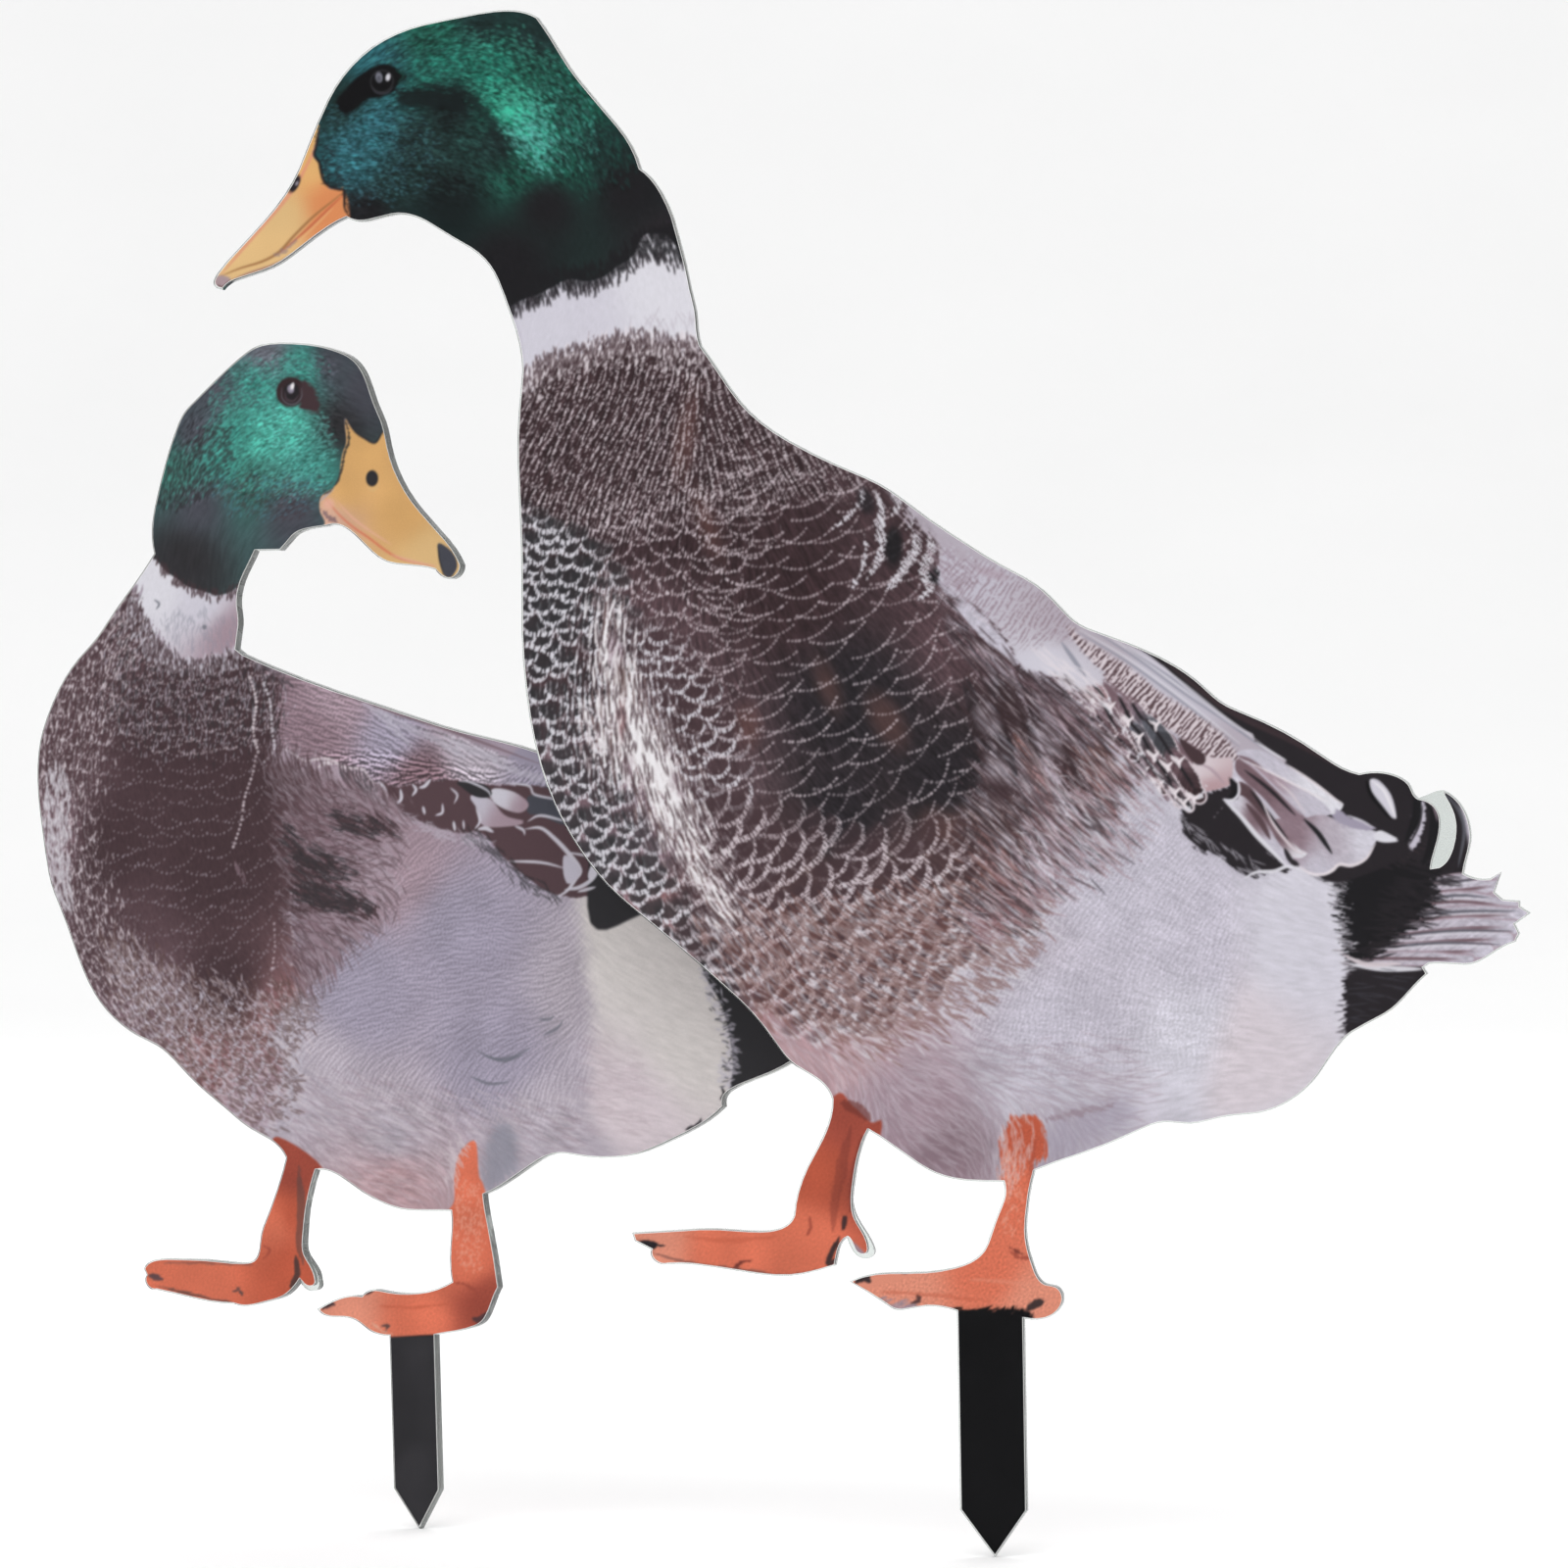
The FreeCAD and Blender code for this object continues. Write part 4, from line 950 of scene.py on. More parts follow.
    p.hairs(skirt, 0.35, 4.4, ROSEWOOD, 0.6, 12)
    p.hairs(skirt, 0.3, 4.0, FROST, 0.7, 12)


def large_ring(p):
    """The white ring round the neck."""
    ring = [
        (-103.8, 257.7), (-92.5, 261.6), (-78.2, 267.4), (-67.9, 271.3), (-59.8, 266.2),
        (-56.7, 251.1), (-59.4, 246.0), (-65.9, 247.2), (-72.0, 248.1), (-76.1, 248.3),
        (-80.2, 247.8), (-84.3, 246.2), (-88.4, 245.5), (-92.5, 244.1), (-95.6, 241.9),
        (-98.3, 238.7), (-101.8, 240.6)]
    part, mask = p.fill(ring, [(-88, 251, PEARL), (-66, 259, FROST)], 0.8, 1.0)
    p.grain((part, mask), p.fine, 0.012)
    p.line([(-100.9, 255.2), (-98.7, 248.6), (-97.7, 241.5)], 1.4, MIST, 0.5)
    tips = p.area([
        (-98.7, 241.1), (-92.5, 245.5), (-84.3, 247.4), (-76.1, 249.7), (-65.9, 248.8),
        (-58.8, 247.2), (-59.4, 244.4), (-65.9, 244.8), (-76.1, 245.7), (-84.3, 243.8),
        (-92.5, 241.5), (-97.4, 237.1)], 1.2)
    p.hairs(tips, 1.5, 2.2, CREAM, 0.95, 14, bold=1)
    p.hairs(tips, 1.5, 2.0, UMBER, 0.9, 16, bold=1)
    p.hairs(p.area([
        (-76.1, 251.8), (-65.9, 252.8), (-58.8, 249.6), (-59.8, 247.2),
        (-72.0, 248.1)], 2), 0.5, 3.0, LILAC, 0.6, 25)


def large_head(p):
    """The head and the neck: green that shines blue and teal, and black below."""
    head = [
        (-140.0, 300.6), (-125.5, 314.5), (-109.0, 319.2), (-92.5, 318.9), (-76.1, 295.5),
        (-63.9, 283.3), (-60.8, 269.2), (-61.4, 263.2), (-64.5, 264.9), (-67.5, 269.3),
        (-71.0, 269.8), (-73.0, 269.0), (-74.1, 266.6), (-75.5, 264.6), (-78.2, 263.0),
        (-81.2, 260.9), (-84.7, 260.1), (-88.4, 260.5), (-92.5, 258.6), (-95.6, 257.2),
        (-98.7, 256.2), (-100.9, 254.8), (-103.8, 253.7), (-111.0, 259.8), (-121.4, 266.0),
        (-135.5, 270.6), (-135.5, 273.8), (-135.9, 277.3), (-136.1, 279.7), (-139.0, 280.3),
        (-140.4, 282.4), (-141.3, 285.4), (-142.1, 286.9), (-141.7, 290.5)]
    part, mask = p.fill(head, [
        (-136, 297, BOTTLE), (-128, 306, TEAL), (-117, 311, PINE), (-107, 314, BOTTLE),
        (-95, 311, BOTTLE), (-115, 305, FOREST), (-105, 304, FOREST), (-96, 300, PINE),
        (-86, 294, PINE), (-82, 288, BOTTLE), (-99, 295, JADE), (-95, 289, JADE), (-89, 286, PINE),
        (-113, 297, NIGHT), (-103, 288, BOTTLE), (-119, 288, BOTTLE), (-130, 292, TEAL),
        (-133, 285, TEAL), (-126, 280, BOTTLE), (-113, 278, NIGHT), (-99, 284, PINE),
        (-130, 275, INK), (-93, 276, INK), (-76, 279, INK), (-101, 264, INK),
        (-66, 267, SOOT)], 0.5, 0.0)
    crown = p.area([
        (-139.0, 296.5), (-125.5, 311.5), (-111.0, 315.2), (-92.5, 309.9), (-82.3, 291.6),
        (-80.2, 282.5), (-90.5, 280.7), (-100.7, 277.8), (-115.2, 278.0), (-125.5, 275.1),
        (-137.9, 278.3), (-139.0, 288.4)], 8)
    p.grain(crown, p.hair, 0.13)
    p.grain(crown, p.fine, 0.16)
    p.grain((part, mask), p.fine, 0.05)
    bright = p.area([
        (-125.5, 310.4), (-98.7, 310.0), (-85.3, 295.7), (-84.3, 285.6), (-90.5, 282.7),
        (-98.7, 285.8), (-103.8, 296.0), (-113.1, 299.7), (-123.4, 299.3)], 7)
    p.hairs(bright, 2.6, 1.1, [(-119, 304, SEA), (-103, 302, MINT), (-96, 290, SPRAY)], 0.7, 8)
    p.hairs(bright, 2.6, 1.2, NIGHT, 0.65, 8)
    teal = p.area([
        (-104.9, 300.0), (-96.6, 298.9), (-92.5, 291.8), (-92.1, 284.7), (-96.6, 285.8),
        (-100.7, 291.9)], 6)
    p.hairs(teal, 2.6, 1.1, [(-101, 297, MINT), (-96, 289, SPRAY)], 0.8, 8)
    cheek = p.area([
        (-137.9, 295.5), (-125.5, 296.3), (-117.2, 288.1), (-119.3, 281.1), (-129.6, 278.2),
        (-136.9, 279.3), (-139.0, 286.4)], 7)
    p.hairs(cheek, 2.4, 0.9, LAGOON, 0.6, 12)
    p.hairs(cheek, 2.2, 1.0, NIGHT, 0.6, 12)
    jaw = p.area([(-123.4, 295.3), (-104.9, 292.0), (-96.6, 280.8), (-104.9, 279.9), (-121.4, 282.1)], 8)
    p.hairs(jaw, 1.8, 1.2, MOSS, 0.5, 8)
    p.hairs(jaw, 1.8, 1.2, BLACK, 0.6, 8)
    nape = p.area([(-92.5, 305.8), (-76.1, 287.5), (-80.2, 279.5), (-90.5, 281.7), (-92.5, 291.8)], 7)
    p.hairs(nape, 1.8, 1.3, FOREST, 0.5, 8)
    p.hairs(nape, 1.8, 1.3, BLACK, 0.65, 8)
    arch = [
        (-124.5, 299.1), (-120.3, 299.7), (-115.2, 300.2), (-110.0, 298.7), (-106.5, 295.6),
        (-104.2, 291.9), (-102.4, 287.9), (-100.7, 283.4)]
    p.line(arch, 2.0, NIGHT, 0.6, fray=0.5)
    p.fill([
        (-123.8, 299.1), (-119.3, 300.0), (-113.5, 299.5), (-110.2, 297.7), (-111.0, 295.7),
        (-117.2, 296.2), (-122.4, 296.7)], NIGHT, 1.6, 0.5, 0.9)
    tips = p.area([
        (-102.8, 259.3), (-92.5, 262.0), (-84.3, 262.9), (-77.8, 265.8), (-73.7, 269.4),
        (-63.9, 270.9), (-62.2, 264.8), (-65.9, 264.1), (-73.0, 265.4), (-76.1, 263.0),
        (-82.3, 259.7), (-89.4, 258.5), (-96.6, 255.8), (-101.8, 253.4)], 1.2)
    p.hairs(tips, 2.4, 2.4, INK, 1.0, 9, bold=2)
    p.hairs(p.area([
        (-103.2, 254.5), (-95.6, 256.6), (-88.4, 258.9), (-81.2, 260.2), (-75.7, 263.8),
        (-72.4, 265.8), (-65.9, 264.1), (-62.2, 264.8), (-62.6, 262.8), (-67.1, 262.3),
        (-72.4, 263.8), (-76.1, 261.2), (-81.8, 258.2), (-88.8, 256.9), (-95.6, 254.6),
        (-102.0, 251.6)], 1.0), 1.5, 2.2, SOOT, 1.0, 8, bold=1)
    p.line([(-72.0, 270.2), (-66.9, 269.3), (-63.9, 264.9)], 2.0, INK, 0.8, fray=0.4)



def large_bill(p):
    """The yellow bill, with its nostril and its dark nail."""
    bill = [
        (-141.1, 293.5), (-141.7, 288.9), (-142.1, 286.9), (-141.1, 285.2), (-140.4, 283.2),
        (-139.8, 281.6), (-138.8, 280.3), (-137.1, 279.7), (-135.9, 279.9), (-135.5, 278.9),
        (-135.9, 277.5), (-135.5, 275.9), (-134.4, 273.8), (-137.9, 270.2), (-146.3, 263.2),
        (-158.7, 258.3), (-165.0, 258.4), (-166.1, 262.5), (-148.3, 282.5), (-143.8, 292.6)]
    part, mask = p.fill(bill, [
        (-142, 285, HONEY), (-149, 274, BISCUIT), (-159, 264, BISCUIT),
        (-138, 277, AMBER)], 0.35, 0.15)
    p.grain((part, mask), p.clouds, 0.012)
    p.fill([
        (-135.5, 279.1), (-134.6, 274.0), (-138.8, 271.0), (-145.2, 266.7), (-150.4, 264.3),
        (-155.6, 262.8), (-159.6, 261.6), (-152.5, 264.7), (-146.3, 269.5), (-141.7, 273.9),
        (-137.9, 276.7)], [(-138, 275, AMBER), (-151, 265, BISCUIT)], 0.8, 0.0, 0.9)
    p.line([
        (-135.2, 279.5), (-137.7, 277.5), (-142.1, 274.1), (-146.3, 270.1), (-149.4, 266.9),
        (-152.9, 265.0), (-157.7, 263.6), (-161.9, 262.0)], 0.55, LEATHER, 0.85)
    p.line([
        (-135.5, 278.7), (-138.4, 276.1), (-142.5, 272.3), (-146.3, 269.1),
        (-149.2, 266.7)], 0.5, RUST, 0.7)
    p.line([(-137.9, 275.9), (-141.7, 272.3), (-145.4, 268.9)], 0.5, BISCUIT, 0.5)
    p.line([
        (-135.5, 274.0), (-140.0, 270.7), (-145.2, 266.9), (-150.0, 264.3), (-155.6, 262.6),
        (-159.2, 261.4)], 0.9, ROSEWOOD, 0.6)
    p.line([(-145.8, 269.1), (-148.3, 267.1), (-150.8, 265.9)], 1.0, DUSK, 0.55, fray=0.2)
    p.line([
        (-140.8, 292.5), (-141.7, 288.5), (-143.8, 284.1), (-147.1, 278.8), (-154.2, 270.8),
        (-161.7, 262.4)], 0.8, SALMON, 0.7)
    p.fill([
        (-162.5, 262.2), (-159.6, 261.6), (-160.4, 260.4), (-161.2, 259.2),
        (-163.1, 260.0)], MAUVE, 0.6, 0.0, 0.9)
    p.line([(-162.5, 260.2), (-161.2, 259.6), (-159.6, 261.2)], 0.8, BROWN, 0.8)
    p.blot((-146.0, 280.9), (1.9, 0.85), SOOT, 62, 0.4)
    p.blot((-145.6, 281.0), (0.5, 0.3), LILAC, 62, 0.3, 0.8)
    p.line([(-147.1, 279.0), (-147.9, 279.9), (-146.9, 282.1), (-145.4, 282.9)], 0.4, BROWN, 0.8)
    p.line([
        (-140.8, 292.5), (-141.5, 288.5), (-141.9, 286.9), (-140.8, 285.2), (-140.4, 283.2),
        (-139.8, 281.4), (-138.6, 280.3), (-136.7, 279.7), (-135.7, 279.5), (-135.5, 277.9),
        (-135.5, 275.9), (-134.6, 274.0)], 0.7, INK, 0.85)
    p.hairs(p.area([
        (-142.5, 290.5), (-140.8, 288.5), (-139.6, 280.4), (-135.9, 279.3), (-134.6, 273.8),
        (-132.5, 275.2), (-135.9, 282.3), (-139.0, 288.4)], 1.5), 1.6, 1.6, INK, 0.8, 30, turn=180)


def large_eye(p):
    """The eye and the glint in it."""
    p.fill([
        (-135.5, 295.1), (-137.3, 297.7), (-135.5, 300.1), (-132.5, 302.9), (-128.6, 305.2),
        (-125.5, 305.0), (-123.2, 303.3), (-122.0, 302.7), (-123.8, 301.5), (-125.1, 299.7),
        (-127.6, 298.6), (-130.5, 298.2), (-133.4, 296.0)], BLACK, 0.8, 0.1)
    centre = (-127.6, 301.8)
    p.blot(centre, (2.5, 2.35), JET, 20, 0.5)
    p.blot(centre, (2.2, 2.05), BLACK, 20, 0.3)
    p.line([(-129.9, 300.8), (-128.6, 299.4), (-126.5, 299.4), (-125.1, 300.7)], 0.35, SLATE, 0.7)
    p.blot((-128.2, 302.6), (0.75, 1.1), PEWTER, 10, 0.5, 0.85)
    p.blot((-128.2, 302.4), (0.4, 0.6), SLATE, 10, 0.3, 0.8)
    p.blot((-126.3, 302.6), (0.5, 0.8), FROST, -10, 0.35, 0.95)
    p.line([(-124.7, 304.0), (-123.0, 302.9), (-124.3, 301.5)], 0.5, PINE, 0.6)


def orange_leg(p, shape, anchors, dark):
    """The orange skin of a leg and its foot, with its small scales."""
    part, mask = p.fill(shape, anchors, 0.5, 0.0)
    p.grain((part, mask), p.worms, 0.035)
    p.grain((part, mask), p.clouds, 0.03)
    for points, width, colour, cover in dark:
        p.line(points, width, colour, cover, fray=0.12)


def large_legs(p):
    """The orange legs and webbed feet."""
    orange_leg(
        p,
        [
            (-33.0, 93.5), (-29.3, 91.5), (-25.5, 88.1), (-23.2, 87.2), (-27.3, 69.2),
            (-24.9, 60.2), (-30.9, 64.7), (-33.4, 57.9), (-43.5, 54.6), (-76.1, 58.6),
            (-76.1, 66.7), (-45.5, 67.0), (-42.5, 69.0), (-40.5, 79.0)],
        [
            (-30, 89, BRICK), (-35, 77, RUST), (-39, 64, CORAL), (-56, 62, CORAL),
            (-71, 63, SALMON), (-28, 77, BRICK)],
        [
            ([(-31.7, 92.1), (-28.1, 90.7), (-25.7, 88.7)], 2.5, MAROON, 0.6),
            ([(-29.7, 87.1), (-31.7, 78.1), (-33.0, 71.1), (-33.4, 66.1)], 2.2, MAROON, 0.35),
            ([(-27.3, 85.1), (-29.1, 76.1), (-29.7, 69.9)], 1.6, MAROON, 0.6),
            ([(-30.9, 69.1), (-31.3, 66.1)], 0.8, COAL, 0.9),
            ([(-31.7, 60.7), (-34.2, 59.5), (-32.1, 64.7)], 1.2, SOOT, 0.85),
            ([(-38.2, 68.7), (-37.8, 66.7), (-38.6, 65.1)], 0.7, BRICK, 0.8),
            ([(-51.6, 56.9), (-53.7, 57.9), (-52.2, 59.3), (-50.0, 59.7)], 0.8, MAROON, 0.9),
            ([
                (-71.0, 61.1), (-63.9, 59.2), (-51.6, 57.5), (-43.5, 56.6),
                (-33.4, 58.3)], 0.9, RUSSET, 0.7),
            ([(-76.1, 62.6), (-72.0, 63.1), (-67.9, 62.3)], 0.8, SOOT, 0.9),
            ([(-63.9, 64.4), (-55.7, 63.7), (-45.5, 64.6)], 1.0, RUST, 0.4)])
    p.fill([(-74.5, 63.1), (-71.6, 63.5), (-69.6, 62.7), (-71.2, 61.5), (-74.1, 61.5)], SOOT, 0.4)
    p.fill(
        [
            (2.2, 87.4), (5.0, 89.4), (9.4, 89.0), (10.2, 81.5), (8.0, 78.5), (9.4, 59.6),
            (17.0, 55.3), (16.2, 48.8), (9.4, 47.3), (6.2, 50.4), (-3.1, 50.3), (-15.2, 50.9),
            (-29.3, 52.8), (-30.9, 57.1), (-11.1, 60.4), (-2.1, 65.0), (0.5, 74.4)],
        [(7, 86, RUST), (4, 73, CORAL), (-1, 58, CORAL), (8, 52, SALMON), (-19, 55, SALMON)], 0.9,
        0.35)
    shin = p.area([
        (1.8, 84.4), (10.2, 84.5), (9.4, 59.6), (15.0, 53.7), (5.0, 48.6), (-27.3, 52.2),
        (-15.2, 57.3), (-2.1, 61.5)], 1.5)
    p.grain(shin, p.worms, 0.07)
    p.hairs(p.area([
        (1.4, 87.4), (6.2, 89.4), (7.0, 81.4), (3.0, 74.4),
        (0.9, 77.4)], 2), 1.0, 3.4, SHELL, 0.8, 14)
    p.hairs(p.area([(2.6, 81.4), (5.0, 80.4), (4.2, 67.5), (1.8, 67.5)], 2), 1.3, 1.2, BLUSH, 0.7, 40)
    for points, width, colour, cover in (
        ([(3.0, 62.3), (5.0, 60.9), (7.4, 60.8), (9.0, 59.2)], 0.8, BRICK, 0.8),
        ([(2.8, 63.1), (5.8, 61.5)], 0.6, MAROON, 0.8),
        ([(6.6, 50.4), (8.6, 51.6), (10.2, 52.1)], 1.8, SOOT, 0.85),
        ([(-28.7, 55.6), (-26.9, 56.6), (-25.7, 55.6)], 1.8, SOOT, 0.9),
        ([(-19.6, 58.1), (-17.2, 58.3)], 1.6, INK, 0.9),
        ([(-17.2, 51.3), (-15.6, 52.1), (-16.0, 53.3)], 1.0, COAL, 0.8),
        ([(-5.1, 56.4), (3.0, 55.9), (9.0, 55.2)], 0.8, SALMON, 0.5),
        ([(-23.2, 53.6), (-11.1, 53.0), (-1.1, 51.9)], 0.8, RUST, 0.4),
        ([(8.6, 85.4), (7.4, 77.5), (8.6, 67.5), (10.2, 59.6)], 1.2, BRICK, 0.4)):
        p.line(points, width, colour, cover, fray=0.1)


def large_spike(p):
    """The black spike."""
    part, mask = p.fill([(-8.7, 50.2), (9.4, 50.5), (9.4, -2.0), (-11.1, -2.4)], BLACK, 0.5)
    p.grain((part, mask), p.clouds, 0.05)
    p.line([(-8.1, 49.8), (5.4, 50.0)], 1.0, BLACK, 0.9, taper=False)


def large_picture(low, high):
    """The large duck's picture, painted from the body outwards."""
    p = Picture(low, high, LARGE_FLOW, seed=3)
    for paint in (large_body, large_rump, large_back, large_coverts, large_tertials, large_curls,
                  large_breast, large_shoulder, large_scapulars, large_ring, large_head, large_bill,
                  large_eye, large_spike, large_legs):
        paint(p)
    return p



# ---- The small duck's picture. Its blacks and darkest tones are painted paler than the large duck's: painted reflection of light off its turned sheet.

SMALL_FLOW = [
    (-42, 247, -160), (-25, 246, 170), (-16, 240, 150), (-53, 234, -125), (-58, 220, -105),
    (-42, 236, -165), (-30, 232, 175), (-42, 224, -150), (-27, 224, -160), (-49, 211, -110),
    (-35, 213, -150), (-49, 201, -92), (-73, 189, -115), (-56, 191, -90), (-45, 188, -75),
    (-85, 174, -105), (-65, 174, -92), (-49, 174, -88), (-87, 153, -88), (-70, 153, -90),
    (-53, 153, -90), (-87, 132, -75), (-70, 132, -80), (-49, 136, -85), (-75, 113, -55),
    (-53, 113, -50), (-58, 100, -38), (-42, 99, -30), (-37, 170, -100), (-25, 169, -110),
    (-6, 165, -118), (12, 161, -122), (-30, 153, -35), (-18, 147, -12), (-9, 140, -10),
    (-27, 136, -30), (-18, 130, -12), (0, 151, -50), (21, 151, -30), (30, 141, -35), (0, 132, -95),
    (21, 124, -95), (-2, 112, -88), (21, 108, -80), (-18, 113, -80), (51, 120, -30), (62, 106, -20),
    (48, 90, -10), (75, 108, -10), (93, 125, 0), (-30, 88, -25), (-11, 84, -15), (12, 91, -25),
    (30, 89, -15), (-6, 74, -10), (-30, 65, -95), (12, 66, -92), (-2, 45, -175), (-49, 50, -178),
    (-2, 23, -90)]


def small_body(p):
    """Flank, belly and rump."""
    whole = (slice(0, len(p.z)), slice(0, len(p.x)))
    p.colour[:] = p.colours([
        (-6, 140, MAUVE), (10, 126, DOVE), (-13, 113, DOVE), (17, 101, DOVE), (39, 114, LILAC),
        (-25, 95, LILAC), (-6, 83, LILAC), (-6, 73, ROSE), (30, 85, LILAC),
    ], whole)
    everywhere = (whole, np.ones(p.colour.shape[:2], np.float32))
    p.grain(everywhere, p.clouds, 0.02)
    flank = p.area([
        (-20.4, 144.5), (12.0, 146.7), (28.0, 139.6), (39.4, 130.4), (40.5, 114.1), (39.4, 93.6),
        (16.6, 87.1), (-6.5, 90.8), (-29.8, 98.7), (-29.8, 117.4), (-25.1, 132.1)], 14)
    p.grain(flank, p.worms, 0.04)
    p.grain(flank, p.waves, 0.055)
    for points in (
        [(13.6, 101.0), (17.7, 99.4), (22.3, 99.9), (26.4, 102.0)],
        [(15.9, 99.8), (20.0, 98.9), (23.9, 100.1)], [(28.0, 107.8), (30.3, 107.8), (31.6, 108.5)],
        [(12.0, 95.6), (16.6, 94.1), (21.2, 94.6)], [(29.1, 104.5), (32.1, 105.8), (33.7, 107.5)]):
        p.line(points, 0.6, STEEL, 0.75)
    belly = p.area([
        (-34.5, 94.5), (-6.5, 92.9), (12.0, 91.1), (39.4, 89.5), (48.4, 81.5), (25.7, 79.0),
        (-1.8, 67.1), (-20.4, 73.9), (-34.5, 77.8)], 7)
    p.grain(belly, p.hair, 0.05)
    p.hairs(belly, 0.35, 4.5, SHELL, 0.5, 12)
    p.hairs(belly, 0.3, 4.0, DUSK, 0.45, 12)
    rump = [
        (37.6, 135.5), (48.4, 137.6), (61.9, 126.5), (75.3, 116.5), (75.3, 94.2), (61.9, 82.8),
        (48.4, 77.5), (40.7, 78.3), (39.4, 91.6), (40.7, 108.0), (38.9, 120.2)]
    part, mask = p.fill(rump, [
        (53, 122, IVORY), (64, 104, IVORY), (48, 88, SHELL), (39, 79, LILAC)], 6.0, 0.5)
    p.grain((part, mask), p.hair, 0.018)
    p.hairs(p.area([(39.4, 103.9), (50.7, 99.9), (52.9, 85.7), (39.4, 85.5)], 4), 0.5, 4.0, MAUVE, 0.35, 10)
    p.fill([(16.6, 83.0), (21.2, 85.1), (23.4, 78.0), (17.7, 71.7), (15.2, 73.7)], PEWTER, 3.0, 0.5, 0.7)


def small_tail(p):
    """The black behind the rump and the tail, for the most part behind the large duck."""
    # This black is JET, paler than true black: painted reflection of light off the small duck's turned
    # sheet.
    p.fill([
        (66, 152), (82, 148), (96, 146), (99, 128), (92, 116), (99, 100), (72, 88), (71.9, 93.8),
        (72.6, 99.9), (70.4, 110.4), (66.8, 116.4), (65.2, 121.5), (66, 132)], JET, 0.4)
    edge = p.area([
        (65.0, 119.4), (68.6, 116.4), (71.9, 108.4), (73.5, 100.3), (71.9, 94.2), (69.7, 96.2),
        (70.4, 104.3), (66.8, 112.4)], 1.5)
    p.hairs(edge, 2.2, 1.6, MIST, 0.9, 25, bold=1)
    p.hairs(edge, 0.8, 1.6, JET, 0.9, 25, turn=180)
    for z, tip in ((124.5, 95.5), (122.5, 101), (120.5, 106), (118.5, 107), (116.0, 106.5), (113.8, 104.5)):
        p.feather([(84, z - 1.5), ((84 + tip) / 2, z - 0.5), (tip, z)], 3.6, (DOVE, LILAC), PEWTER, 0.4,
                  SLATE, barbs=0.05, slant=1.5, blunt=0.7)
    for z in (123.4, 121.3, 119.3, 117.1, 114.8):
        p.line([(86, z - 1), (95, z - 0.5), (104, z)], 0.45, BARK, 0.8)
    p.fill([(76, 134), (90, 131), (90, 124), (84, 117), (76, 112)], COAL, 0.6, 0.9)
    p.line([(83, 112.5), (92, 112.6), (101, 112.2)], 0.9, SHELL, 0.9)
    p.line([(82, 149), (86, 146), (89, 140)], 0.8, MIST, 0.9)
    p.line([(91, 144), (94, 140), (93, 134)], 0.8, MIST, 0.9)
    for points in (
        [(63.4, 85.7), (65.0, 86.8), (65.4, 87.8)], [(69.7, 91.7), (70.6, 92.9), (70.1, 94.2)],
        [(61.9, 85.3), (63.2, 85.9), (64.1, 85.9)]):
        p.line(points, 0.7, JET, 0.9)


